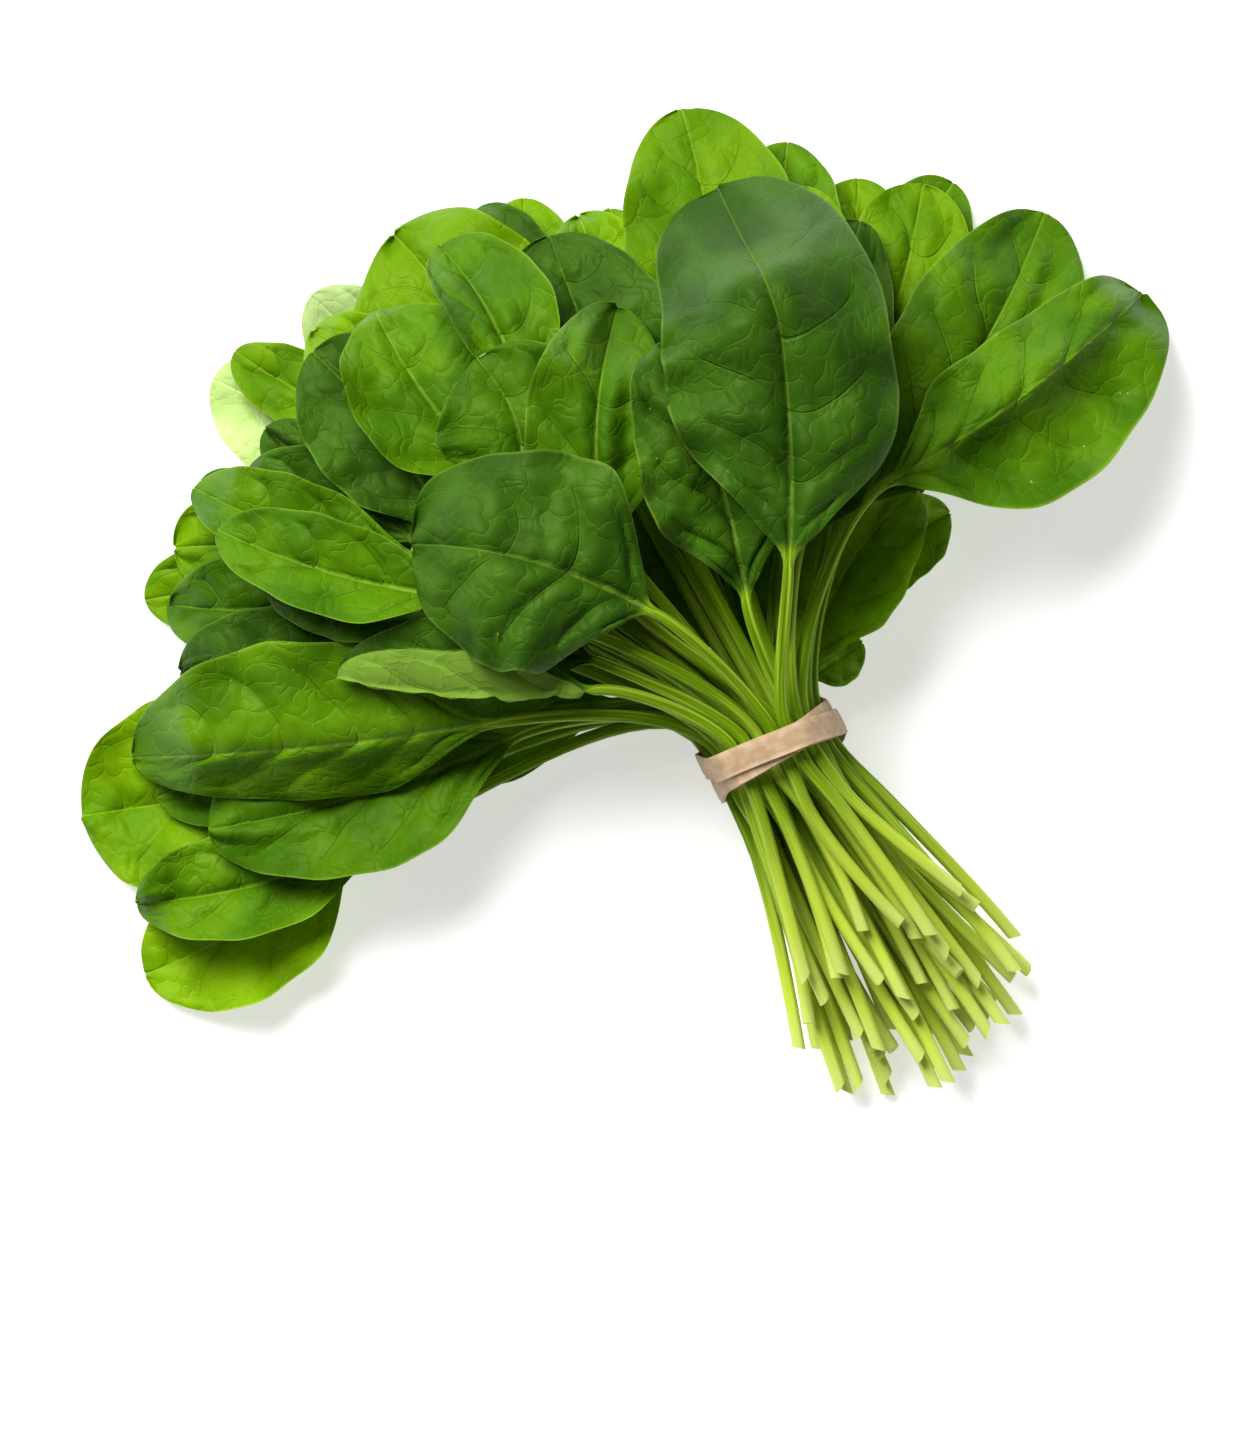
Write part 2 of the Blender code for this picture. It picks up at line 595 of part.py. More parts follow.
def neck_circles(shapes):
    """Each stalk near the band as sideways place, height and radius."""
    axis, side = neck_directions()
    rows = []
    for shape in shapes:
        for i in range(shape.neck - 1, shape.neck + 2):
            line = dense_line(shape, i)
            offset = line[:, :2] - np.array(NECK_CENTRE)
            near = np.abs(offset @ axis) < 9.0
            rows.append(np.column_stack((offset @ side, line[:, 2], line[:, 3]))[near])
    return np.vstack(rows)


def band_outline(shapes, sides):
    """Corners of the many-sided loop round the neck, and the outward mitre at each corner."""
    circles = neck_circles(shapes)
    angle = -math.pi / 2 + 2 * math.pi * np.arange(sides) / sides
    normals = np.column_stack((np.cos(angle), np.sin(angle)))
    reach = (circles[:, :2] @ normals.T + circles[:, 2:]).max(axis=0) + BAND_CLEARANCE
    after = np.roll(normals, -1, axis=0)
    reach_after = np.roll(reach, -1)
    det = normals[:, 0] * after[:, 1] - normals[:, 1] * after[:, 0]
    x = (reach * after[:, 1] - reach_after * normals[:, 1]) / det
    z = (normals[:, 0] * reach_after - after[:, 0] * reach) / det
    mitre = (normals + after) / (1.0 + (normals * after).sum(axis=1))[:, None]
    return np.column_stack((x, z)), mitre


def strand_path(share):
    """At a share of one turn from the bottom: half the strands' spacing, and the upper's rise."""
    from_top = abs(share - 0.5) * 2.0
    if from_top < 0.5:
        spacing = BAND_FRONT_OFFSET * from_top / 0.5
    else:
        reach = smooth_step(0.5, 0.72, from_top)
        spacing = BAND_FRONT_OFFSET + (BAND_BACK_OFFSET - BAND_FRONT_OFFSET) * reach
    rise = (BAND_THICK + 0.33) * (1.0 - smooth_step(0.74, 0.9, from_top))
    return math.copysign(spacing, share - 0.5), rise


def band_rings(shapes, sides):
    """Sections of the band's strip along its two turns."""
    axis, side = neck_directions()
    corners, mitre = band_outline(shapes, sides)
    rings = []
    for turn in (0, 1):
        for k in range(sides):
            spacing, rise = strand_path((k + 0.5) / sides)
            along = -spacing if turn == 0 else spacing
            low = corners[k] + mitre[k] * (rise if turn else 0.0)
            high = low + mitre[k] * BAND_THICK
            rings.append([neck_place(p, along + e, axis, side) for p, e in strip_corners(low, high)])
    return np.array(rings)


def strip_corners(low, high):
    """The strip's four corners as a loop point and a place along the neck."""
    half = BAND_WIDTH / 2
    return ((low, -half), (high, -half), (high, half), (low, half))


def neck_place(point, along, axis, side):
    """A point of the neck's cross-section moved along its axis, in the bunch's frame."""
    plan = np.array(NECK_CENTRE) + side * point[0] + axis * along
    return (plan[0], plan[1], point[1])


def leaf_faces(stations, count):
    """Quads between rings, and an end cap at each end."""
    faces = []
    for i in range(stations - 1):
        for k in range(count):
            following = (k + 1) % count
            low, high = i * count, (i + 1) * count
            faces.append((low + k, low + following, high + following, high + k))
    faces.append(tuple(reversed(range(count))))
    return faces + tip_faces((stations - 1) * count, count)


def tip_faces(start, count):
    """Narrow faces that close the last ring, from its upper points to the ones below them."""
    across = count // 2 + 1
    low = [0, *(count - k for k in range(1, across - 1)), across - 1]
    faces = []
    for k in range(across - 1):
        corners = dict.fromkeys((k, k + 1, low[k + 1], low[k]))
        faces.append(tuple(start + corner for corner in corners))
    return faces


def loop_faces(stations, count):
    """Quads round a loop of rings that closes on itself."""
    faces = []
    for i in range(stations):
        low, high = i * count, ((i + 1) % stations) * count
        for k in range(count):
            following = (k + 1) % count
            faces.append((low + k, low + following, high + following, high + k))
    return faces


def material(name, colour, roughness):
    """A plain Principled material."""
    made = bpy.data.materials.new(name)
    made.use_nodes = True
    shader = made.node_tree.nodes["Principled BSDF"]
    shader.inputs["Base Color"].default_value = (*colour, 1.0)
    shader.inputs["Roughness"].default_value = roughness
    shader.inputs["Metallic"].default_value = 0.0
    return made


def add_solid(name, points, faces, slot, collection):
    """A closed mesh object with one material."""
    mesh = bpy.data.meshes.new(name)
    mesh.from_pydata((points * MM).tolist(), [], faces)
    mesh.update()
    mesh.materials.append(slot)
    mesh.shade_smooth()
    mesh.set_sharp_from_angle(angle=math.radians(50))
    made = bpy.data.objects.new(name, mesh)
    collection.objects.link(made)
    return made


def centre_shift(shapes, band):
    """What brings the middle of the whole bunch over the origin and its lowest point to z = 0."""
    points = np.vstack([s.rings.reshape(-1, 3) for s in shapes] + [band.reshape(-1, 3)])
    low, high = points.min(axis=0), points.max(axis=0)
    return np.array((-(low[0] + high[0]) / 2, -(low[1] + high[1]) / 2, -low[2]))


def build():
    """Lay the bunch, wind the band and make the objects."""
    shapes = lay_bunch(COARSE)
    band = band_rings(shapes, BAND_SIDES)
    shift = centre_shift(shapes, band)
    collection = bpy.data.collections.new("spinach_bunch")
    bpy.context.scene.collection.children.link(collection)
    slots = {name: material(name, colour, 0.45) for name, colour in TONES.items()}
    for shape in shapes:
        stations, count = shape.rings.shape[:2]
        points = shape.rings.reshape(-1, 3) + shift
        faces = leaf_faces(stations, count)
        add_solid(shape.leaf.name, points, faces, slots[shape.leaf.tone], collection)
    rubber = material("band_rubber", (0.43, 0.28, 0.155), 0.6)
    faces = loop_faces(*band.shape[:2])
    add_solid("rubber_band", band.reshape(-1, 3) + shift, faces, rubber, collection)


for old in list(bpy.data.objects):
    bpy.data.objects.remove(old, do_unlink=True)
build()
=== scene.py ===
"""The looks of a bunch of spinach that lies on a table, tied at the neck with a rubber band.

Every leaf is grown here again at full fineness from the same plan as its CAD solid: its stalk is
packed in the neck, its blade is laid on the leaves below it, and then it gets what the plain solid
leaves out, such as the ruffled margin, the blisters between the veins, the midrib and the groove of
the stalk. Lengths in the plans are millimetres, and the meshes are metres.
"""
import logging
import math
from dataclasses import dataclass
from enum import Enum
from typing import Sequence

import bpy
import numpy as np
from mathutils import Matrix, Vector


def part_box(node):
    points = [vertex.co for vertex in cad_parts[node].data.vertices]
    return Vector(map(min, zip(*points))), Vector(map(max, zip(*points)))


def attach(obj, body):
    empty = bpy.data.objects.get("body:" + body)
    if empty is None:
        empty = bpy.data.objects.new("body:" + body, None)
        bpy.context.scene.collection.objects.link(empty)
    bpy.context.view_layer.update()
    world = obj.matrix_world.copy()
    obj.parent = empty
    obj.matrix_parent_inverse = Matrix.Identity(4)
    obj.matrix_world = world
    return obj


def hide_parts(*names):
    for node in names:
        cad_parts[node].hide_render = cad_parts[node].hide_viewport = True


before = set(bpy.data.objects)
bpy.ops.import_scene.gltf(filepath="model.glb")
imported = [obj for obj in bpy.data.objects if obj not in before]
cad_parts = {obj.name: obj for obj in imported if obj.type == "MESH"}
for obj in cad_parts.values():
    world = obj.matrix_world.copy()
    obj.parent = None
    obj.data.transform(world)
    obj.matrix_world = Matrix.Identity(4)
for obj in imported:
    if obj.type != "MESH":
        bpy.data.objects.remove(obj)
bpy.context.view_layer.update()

MM = 0.001
BODY = "root"
LOG = logging.getLogger("spinach")

# The surface layers hold 0 to 1, so lengths and vein counts are divided by these spans.
ACROSS_SPAN, ALONG_SPAN, VEIN_SPAN = 200.0, 400.0, 24.0
# The arches that join the side veins: where across the half blade they stand, and their bulge.
ARCH_FOOT, ARCH_BULGE = 0.60, 0.22

Pair = tuple[float, float]
Colour = tuple[float, float, float]


class Tone(Enum):
    """The four greens of the bunch. The value is the name of its material slot."""

    DARK = "leaf_dark"
    MID = "leaf_mid"
    # BRIGHT is partly the leaves' own yellower green and partly painted light: the glow of light
    # let through the outer leaves is painted into it.
    BRIGHT = "leaf_bright"
    PALE = "leaf_pale"


class Fineness(Enum):
    """How finely a leaf is cut: stations on tail, stalk and blade, and points across the blade."""

    LAYING = (5, 8, 15, 9)
    SHOWN = (16, 18, 72, 41)
    HIDDEN = (12, 12, 40, 25)
    TRIAL = (8, 9, 28, 17)


@dataclass(frozen=True)
class LeafPlan:
    """Where a leaf lies and how its blade bends.

    left and right are (fold, curl) in degrees, seen along the leaf's growth: the blade's slope
    at the midrib, and what it gains by the margin. A positive slope rises towards the margin.
    hook turns the tip aside, arch makes a peak on the midrib, and blunt under 1 rounds the end.
    stiff is the share of the blade's width that the heap can't bend: at 1 it keeps its own shape.
    skew is the share that the right half is wider than plan and the left half narrower.
    roll turns the blade about its midrib, bow bends it aside, lift raises all of it and droop
    lowers its tip. ruffle and quilt are shares of the usual relief at the margin and inside it.
    shade is how much lighter the leaf is painted than others of its tone, from -1 to 1: partly
    the leaf's own lightness and partly painted light and painted shade, which lift leaves that lie
    in cast shadow and darken blades that face away from the light. shown is False
    for a leaf that hardly shows.
    """

    name: str
    row: int
    base: Pair
    tip: Pair
    width: float
    tone: Tone
    left: Pair = (8, 14)
    right: Pair = (8, 14)
    roll: float = 0.0
    bow: float = 0.0
    lift: float = 0.0
    droop: float = 4.0
    ruffle: float = 1.0
    quilt: float = 1.0
    hook: float = 0.0
    arch: float = 0.0
    shade: float = 0.0
    skew: float = 0.0
    blunt: float = 1.0
    stiff: float = 0.5
    shown: bool = True


D, M, B, P = Tone.DARK, Tone.MID, Tone.BRIGHT, Tone.PALE

# The shade values below are partly painted light and painted shade.
PLANS: tuple[LeafPlan, ...] = (
    LeafPlan("under_leaf_1", 0, (0, -26), (-82, -33), 36, M, (2, 8), (2, 8), shown=False),
    LeafPlan("under_leaf_2", 0, (4, -20), (-90, 0), 50, M, (2, 8), (2, 8), bow=4, shown=False),
    LeafPlan("under_leaf_3", 0, (20, -20), (-48, 50), 54, D, (2, 8), (2, 8), bow=-4, shown=False),
    LeafPlan("under_leaf_4", 0, (33, -22), (2, 68), 54, M, (2, 8), (2, 8), bow=3, shown=False),
    LeafPlan("under_leaf_5", 0, (44, 10), (77, 67), 42, M, (2, 8), (2, 8), bow=-3, shown=False),
    # Painted light: shade=1.0 lifts this leaf out of the cast shadow of the leaf above it.
    LeafPlan(
        "left_leaf_low_2", 1, (-68, -62), (-121, -95), 38, B, (12, 20), (4, 10), bow=-3,
        shade=1.0,
    ),
    LeafPlan("left_leaf_low_3", 1, (-73, -2), (-121, 0), 26, B, (20, 20), (12, 20), bow=3),
    LeafPlan("back_leaf_left_9", 1, (-51, 44), (-79, 77), 26, P, (6, 10), (12, 20), bow=2),
    LeafPlan("back_leaf_mid_5", 1, (-16, 67), (-25, 102), 24, B, (12, 16), (12, 16), bow=-2),
    LeafPlan("back_leaf_right_6", 1, (52, 67), (60, 107), 25, B, (10, 16), (10, 16), bow=2),
    LeafPlan("right_leaf_low_2", 1, (57, 0), (83, 22), 22, B, (20, 20), (6, 10), bow=-3, shade=0.8),
    LeafPlan(
        "left_leaf_low_1", 2, (-70, -50), (-137, -55), 51, B, (2, 5), (4, 7), bow=2, shade=0.4,
    ),
    LeafPlan("left_leaf_edge_4", 2, (-63, 10), (-107, 30), 24, M, (13, 12), (8, 12), bow=-2),
    LeafPlan("left_leaf_edge_6", 2, (-60, 24), (-104, 56), 30, P, (2, 7), (6, 8), bow=3, shade=1.0),
    LeafPlan(
        "back_leaf_mid_4", 2, (-18, 67), (-38, 98), 22, D, (11, 12), (8, 10), bow=2, shown=False,
    ),
    LeafPlan("back_leaf_right_4", 2, (60, 50), (84, 106), 30, M, (7, 8), (6, 8), roll=3, bow=-3),
    LeafPlan(
        "right_leaf_low_3", 2, (46, -20), (61, -11), 13, B, (4, 8), (4, 8), shade=0.8,
        shown=False,
    ),
    LeafPlan("back_leaf_mid_2", 2, (10, 54), (4, 96), 27, M, (4, 8), (4, 8), bow=2, shown=False),
    LeafPlan(
        "left_leaf_front_3", 3, (-59, -60), (-123, -77), 30, M, (26, 24), (7, 10), bow=-3,
        shade=1.0,
    ),
    LeafPlan("left_leaf_edge_1", 3, (-70, 6), (-113, 13), 30, B, (6, 10), (8, 12), bow=3),
    LeafPlan("left_leaf_edge_7", 3, (-56, 42), (-98, 63), 20, B, (10, 14), (10, 14), bow=-2),
    LeafPlan("back_leaf_left_6", 3, (-28, 40), (-58, 93), 50, B, (3, 6), (3, 7), bow=4, shade=-0.9),
    LeafPlan("back_leaf_mid_1", 3, (2, 67), (-3, 99), 18, B, (9, 12), (9, 12)),
    LeafPlan("back_leaf_right_1", 3, (44, 67), (42, 116), 28, M, (9, 11), (6, 8), bow=-2),
    LeafPlan(
        "back_leaf_right_5", 3, (60, 50), (76, 105), 34, B, (4, 7), (6, 10), bow=2, shade=-0.6,
    ),
    # Painted light: shade=1.0 lifts this leaf out of the cast shadow of the leaves above it.
    LeafPlan(
        "right_leaf_front_1", 3, (46, -20), (74, 28), 33, B, (4, 8), (10, 14), roll=12, bow=-5,
        shade=1.0,
    ),
    LeafPlan(
        "left_leaf_front_4", 4, (-76, -43), (-118, -50), 24, M, (8, 12), (8, 12), bow=2,
        shown=False,
    ),
    LeafPlan(
        "left_leaf_front_2", 4, (-25, -34), (-104, -58), 40, M, (14, 22), (4, 7), bow=-3,
        shade=-0.2,
    ),
    LeafPlan("left_leaf_edge_2", 4, (-68, 2), (-115, -1), 26, M, (12, 14), (6, 8), bow=-3),
    LeafPlan("back_leaf_left_8", 4, (-50, 42), (-78, 68), 25, B, (7, 8), (6, 7), bow=2),
    LeafPlan(
        "left_leaf_edge_5", 4, (-56, 24), (-90, 43), 20, D, (12, 13), (8, 11), bow=-2,
        shown=False,
    ),
    LeafPlan("back_leaf_mid_3", 4, (-3, 57), (-11, 97), 26, B, (8, 10), (7, 8), bow=2),
    LeafPlan("back_leaf_right_3", 4, (44, 44), (44, 104), 30, B, (6, 8), (8, 10), bow=2),
    LeafPlan("right_leaf_mid_2", 4, (52, 24), (60, 95), 28, D, (7, 10), (4, 8), bow=-3),
    LeafPlan("right_leaf_mid_3", 4, (60, 23), (97, 74), 26, D, (10, 12), (4, 6), bow=3),
    LeafPlan("left_leaf_mid_3", 5, (-50, -10), (-112, -18), 32, D, (20, 26), (8, 11), bow=-3),
    LeafPlan(
        "left_leaf_front_1", 5, (-30, -31), (-124, -40), 46, M, (-56, 8), (8, 4), bow=-2,
        quilt=1.3, ruffle=0.6, shade=0.5, stiff=0.9, skew=0.12,
    ),
    LeafPlan("left_leaf_mid_5", 5, (-50, 14), (-95, 31), 24, D, (9, 12), (6, 8), bow=2),
    LeafPlan("back_leaf_left_7", 5, (-42, 14), (-78, 62), 36, D, (7, 11), (4, 7), bow=3),
    LeafPlan("back_leaf_left_5", 5, (-28, 28), (-62, 72), 42, M, (8, 56), (4, 7), bow=-3),
    LeafPlan("crown_leaf_back", 5, (22, 48), (15, 124), 43, B, (2, 6), (4, 7), bow=4, shade=-0.8),
    LeafPlan("back_leaf_left_2", 5, (2, 42), (-18, 91), 40, D, (6, 8), (4, 7), bow=-1, shade=-0.2),
    LeafPlan("right_leaf_back_2", 5, (58, 22), (107, 98), 42, M, (6, 7), (6, 8), bow=5, shade=-0.3),
    LeafPlan(
        "left_leaf_mid_4", 6, (-43, -6), (-90, 4), 24, D, (10, 13), (7, 11), bow=2, shown=False,
    ),
    LeafPlan(
        "left_leaf_mid_2", 6, (-50, 10), (-108, 28), 26, M, (34, 20), (12, 12), bow=-3, stiff=0.8,
    ),
    LeafPlan("back_leaf_left_4", 6, (-24, 47), (-46, 89), 32, M, (40, 30), (8, 10), bow=3),
    LeafPlan("left_leaf_top_2", 6, (-27, 20), (-36, 59), 40, M, (3, 7), (4, 10), bow=6, shade=-1.0),
    LeafPlan("crown_leaf_left_2", 6, (-4, 8), (-1, 73), 33, M, (4, 7), (6, 8), bow=-4, shade=-1.0),
    LeafPlan(
        "crown_leaf_left_1", 6, (31, -2), (10, 63), 36, D, (4, 8), (8, 11), bow=3, quilt=2.0,
        ruffle=1.8, shade=1.0,
    ),
    LeafPlan(
        "right_leaf_top", 6, (65, 28), (132, 78), 49, M, (-34, 10), (-72, 112), roll=3, bow=3,
        droop=10, quilt=1.2, blunt=0.8, stiff=1.0, shade=-0.3, skew=0.22,
    ),
    LeafPlan(
        "left_leaf_small", 7, (-6, -16), (-38, -10), 20, D, (6, 8), (6, 8), bow=2, shown=False,
    ),
    LeafPlan("right_leaf_mid_1", 7, (44, 12), (62, 52), 24, D, (4, 8), (8, 11), bow=-2),
    LeafPlan(
        "left_leaf_mid_1", 7, (-38, 0), (-101, 17), 26, M, (26, 22), (10, 11), bow=-3, stiff=0.8,
    ),
    LeafPlan(
        "left_leaf_folded", 7, (-6, -23), (-71, -20), 31, D, (142, 24), (5, 8), bow=-3, stiff=1.0,
        skew=0.2, quilt=0.5, ruffle=0.4,
    ),
    LeafPlan(
        "crown_leaf_left", 7, (8, -4), (-52, 13), 55, D, (4, -26), (3, -30), bow=4, lift=-4,
        quilt=1.6, arch=2, shade=0.5, blunt=0.8, stiff=0.85,
    ),
    # Painted shade: shade=-0.9 darkens this blade, whose lower part faces away from the light.
    LeafPlan(
        "crown_leaf_right", 7, (41, 7), (31, 104), 57, D, (12, -40), (8, -44), bow=4, lift=-1,
        hook=-7, arch=14, quilt=1.3, shade=-0.9, blunt=0.66, stiff=0.9,
    ),
)


# Plain helpers -----------------------------------------------------------------------------

# The turn in radians that the patterns are drawn with. More places would move them.
ONE_TURN = 6.2832


def smooth_step(low: float, high: float, value: np.ndarray | float) -> np.ndarray:
    """Ease from 0 at low to 1 at high."""
    part = np.clip((np.asarray(value, float) - low) / (high - low), 0.0, 1.0)
    return part * part * (3.0 - 2.0 * part)


def jitter(index: int, salt: float) -> float:
    """A repeatable number between -1 and 1."""
    return 2.0 * math.modf((index + 1) * 0.61803 + salt * 0.3719)[0] - 1.0


def hermite(
    start: np.ndarray, end: np.ndarray, leave: np.ndarray, arrive: np.ndarray, count: int
) -> np.ndarray:
    """Points of a cubic from start to end, both included.

    Args:
        start: first point.
        end: last point.
        leave: slope at the start.
        arrive: slope at the end.
        count: how many points.

    Returns:
        The points as rows.
    """
    t = np.linspace(0.0, 1.0, count)[:, None]
    whole = (2 * t**3 - 3 * t**2 + 1) * start + (3 * t**2 - 2 * t**3) * end
    return whole + (t**3 - 2 * t**2 + t) * leave + (t**3 - t**2) * arrive


def spline_through(
    keys: np.ndarray, places: np.ndarray, samples: np.ndarray, level_start: bool = False
) -> np.ndarray:
    """Cubic through keys at places, read at samples.

    Args:
        keys: values, or rows of values, one for each place.
        places: where the keys lie, in rising order.
        samples: where to read.
        level_start: whether the curve starts level.

    Returns:
        One value, or row of values, for each sample.
    """
    slopes = np.gradient(keys, places, axis=0)
    if level_start:
        slopes[0] = 0.0
    span = np.clip(np.searchsorted(places, samples, side="right") - 1, 0, len(places) - 2)
    shape = (-1,) + (1,) * (keys.ndim - 1)
    width = (places[span + 1] - places[span]).reshape(shape)
    t = ((samples - places[span]) / width.ravel()).reshape(shape)
    first = keys[span] * (2 * t**3 - 3 * t**2 + 1) + slopes[span] * width * (t**3 - 2 * t**2 + t)
    return first + keys[span + 1] * (3 * t**2 - 2 * t**3) + slopes[span + 1] * width * (t**3 - t**2)


def hashed(x: np.ndarray, y: np.ndarray, seed: float) -> np.ndarray:
    """A repeatable number from 0 to 1 for each pair of whole numbers."""
    raw = np.sin(x * 127.1 + y * 311.7 + seed * 17.31) * 43758.5453
    return raw - np.floor(raw)


def waves(x: np.ndarray, y: np.ndarray, length: float, seed: float) -> np.ndarray:
    """Smooth rolling unevenness of about -1 to 1.

    Args:
        x: places sideways.
        y: places lengthwise.
        length: the longest wave.
        seed: which pattern.

    Returns:
        The height at each place.
    """
    total = np.zeros(np.broadcast(x, y).shape)
    for k in range(5):
        turn = 2.399 * k + seed
        size = length / (1.0 + 0.35 * k)
        phase = ONE_TURN * math.modf(seed * 3.7 + k * 0.731)[0]
        along = x * math.cos(turn) + y * math.sin(turn)
        total += np.sin(along * ONE_TURN / size + phase) / (1 + 0.4 * k)
    return total / 2.6


def cell_rims(x: np.ndarray, y: np.ndarray, cell: float, seed: float) -> np.ndarray:
    """How far each place is from the rim of its cell in an uneven net, in cells.

    Args:
        x: places sideways.
        y: places lengthwise.
        cell: the usual width of a cell.
        seed: which net.

    Returns:
        0 on a rim, about 0.5 in the middle of a cell.
    """
    gx, gy = np.floor(x / cell), np.floor(y / cell)
    near = np.full(x.shape, 9.0)
    next_near = np.full(x.shape, 9.0)
    for dx in (-1, 0, 1):
        for dy in (-1, 0, 1):
            cx, cy = gx + dx, gy + dy
            px = cx + 0.15 + 0.7 * hashed(cx, cy, seed)
            py = cy + 0.15 + 0.7 * hashed(cy, cx, seed + 5.0)
            away = np.hypot(x / cell - px, y / cell - py)
            next_near = np.minimum(next_near, np.maximum(near, away))
            near = np.minimum(near, away)
    return next_near - near


def neighbours(values: np.ndarray) -> tuple[np.ndarray, np.ndarray, np.ndarray]:
    """For each row, the row before it, the row itself and the row after it."""
    held = np.concatenate((values[:1], values, values[-1:]))
    return held[:-2], held[1:-1], held[2:]


def soften(values: np.ndarray, reach: int) -> np.ndarray:
    """Widen the highs along the first axis and average them, so nothing drops below where it was.

    Args:
        values: rows along the leaf.
        reach: how many places to widen by.

    Returns:
        The softened rows.
    """
    for _ in range(reach):
        before, own, after = neighbours(values)
        values = np.maximum(np.maximum(before, own), after)
    return averaged(values, reach)


def averaged(values: np.ndarray, times: int) -> np.ndarray:
    """Each row averaged with its neighbours, several times over.

    Args:
        values: rows along the leaf.
        times: how many times.

    Returns:
        The averaged rows.
    """
    for _ in range(times):
        before, own, after = neighbours(values)
        values = (before + own + after) / 3.0
    return values


def taut(places: np.ndarray, values: np.ndarray) -> np.ndarray:
    """The lowest chain over values that never sags between its supports.

    Args:
        places: where the values stand, in rising order.
        values: the heights to clear.

    Returns:
        The height of the chain at each place.
    """
    result = values.copy()
    corner = 0
    while corner < len(values) - 1:
        rest = places[corner + 1 :] - places[corner]
        slopes = (values[corner + 1 :] - values[corner]) / rest
        step = int(np.argmax(slopes)) + 1
        share = rest[:step] / rest[step - 1]
        rise = values[corner + step] - values[corner]
        result[corner + 1 : corner + step + 1] = values[corner] + share * rise
        corner += step
    return result


# How the bunch is laid out ------------------------------------------------------------------

# In six-sided packing, the height from one row to the next in pitches.
SIX_SIDED_ROW = math.sqrt(0.75)


@dataclass(frozen=True)
class Neck:
    """The tied neck: where the band sits, how it points and how the stalks are packed in it.

    Stalks are put side by side by the angle to a place on their blade, at a share aim of its way.
    """

    centre: Pair = (37.6, -37.5)
    axis: Pair = (-0.445, 0.8955)
    stalk_radius: float = 1.62
    pitch: float = 3.6
    gap: float = 0.33
    half_length: float = 4.0
    floor: float = 3.4
    aim: float = 0.25
    rows: tuple[int, ...] = (5, 6, 7, 8, 9, 8, 7, 6)

    def directions(self) -> tuple[np.ndarray, np.ndarray]:
        """The way to the leaves and the way to the right, level and one long."""
        axis = np.array(self.axis) / np.linalg.norm(self.axis)
        return axis, np.array((axis[1], -axis[0]))

    def fan_angle(self, plan: LeafPlan) -> float:
        """How far to the right of the neck's axis a leaf's blade starts.

        Args:
            plan: the leaf.

        Returns:
            The angle in radians.
        """
        axis, side = self.directions()
        aimed = (1.0 - self.aim) * np.array(plan.base) + self.aim * np.array(plan.tip)
        way = aimed - np.array(self.centre)
        return math.atan2(way @ side, way @ axis)

    def slots(self) -> dict[str, Pair]:
        """For each leaf, its stalk's sideways place and height inside the band.

        Returns:
            Both in millimetres, by the name of the leaf.
        """
        found = {}
        for row, count in enumerate(self.rows):
            members = sorted((plan for plan in PLANS if plan.row == row), key=self.fan_angle)
            height = self.floor + row * self.pitch * SIX_SIDED_ROW
            for column, plan in enumerate(members):
                found[plan.name] = ((column - (count - 1) / 2) * self.pitch, height)
        return found


@dataclass(frozen=True)
class Mound:
    """The heap's own shape: how high a leaf holds itself over each point of the table."""

    lowest: float = 1.5
    row_step: float = 1.2
    rise: float = 4.2
    centre: Pair = (-2.0, 18.0)
    spread: float = 92.0

    def height(self, plan: LeafPlan, point: Sequence[float]) -> float:
        """The height that a leaf keeps over a point by its own stiffness.

        Args:
            plan: the leaf.
            point: where on the table.

        Returns:
            The height in millimetres.
        """
        offset = (np.asarray(point, float) - np.array(self.centre)) / self.spread
        dome = math.exp(-float(offset @ offset))
        return self.lowest + self.row_step * plan.row + self.rise * plan.row * dome + plan.lift


@dataclass(frozen=True)
class Tail:
    """The stalks below the band, from the neck to their cut ends.

    From short_row on, stalks get shorter. outer_loss and uneven are shares of a stalk's length.
    """

    spread: float = 2.15
    shift: float = 4.0
    longest: float = 88.0
    shortest: float = 56.0
    short_row: int = 4
    outer_loss: float = 0.07
    uneven: float = 0.10
    stray: float = 3.4
    sway: float = 3.0
    leave: float = 0.5
    arrive: float = 0.7
    end_floor: float = 2.1
    end_squash: float = 0.42

    def points(self, plan: LeafPlan, index: int, slot: Pair, neck: Neck, count: int) -> np.ndarray:
        """Centre line from the cut end to the neck, without the neck itself.

        Args:
            plan: the leaf.
            index: its place in the order of laying.
            slot: its sideways place and height in the neck.
            neck: the tied neck.
            count: how many points.

        Returns:
            Rows of x, y, z.
        """
        axis, side = neck.directions()
        centre = np.array(neck.centre)
        across, height = slot
        short_rows = len(neck.rows) - 1 - self.short_row
        loss = (self.longest - self.shortest) * max(0.0, plan.row - self.short_row) / short_rows
        reach = self.longest - loss
        reach *= 1.0 - self.outer_loss * abs(across) / 10 + self.uneven * jitter(index, 1)
        end_across = self.shift + self.spread * across + self.stray * jitter(index, 2)
        end = centre - axis * reach + side * end_across
        start = centre - axis * neck.half_length + side * across
        away = (end - start) / np.linalg.norm(end - start)
        ways = (-axis * self.leave * reach, away * self.arrive * reach)
        plan_line = hermite(start, end, *ways, count + 1)[1:]
        end_height = self.end_floor + self.end_squash * (height - neck.floor)
        share = np.linspace(0.0, 1.0, count + 1)[1:]
        sway = self.sway * jitter(index, 3) * np.sin(math.pi * share**0.9)
        plan_line += (sway * smooth_step(0.0, 0.35, share))[:, None] * side
        z = height + (end_height - height) * smooth_step(0.0, 1.15, share)
        return np.column_stack((plan_line, z))[::-1]


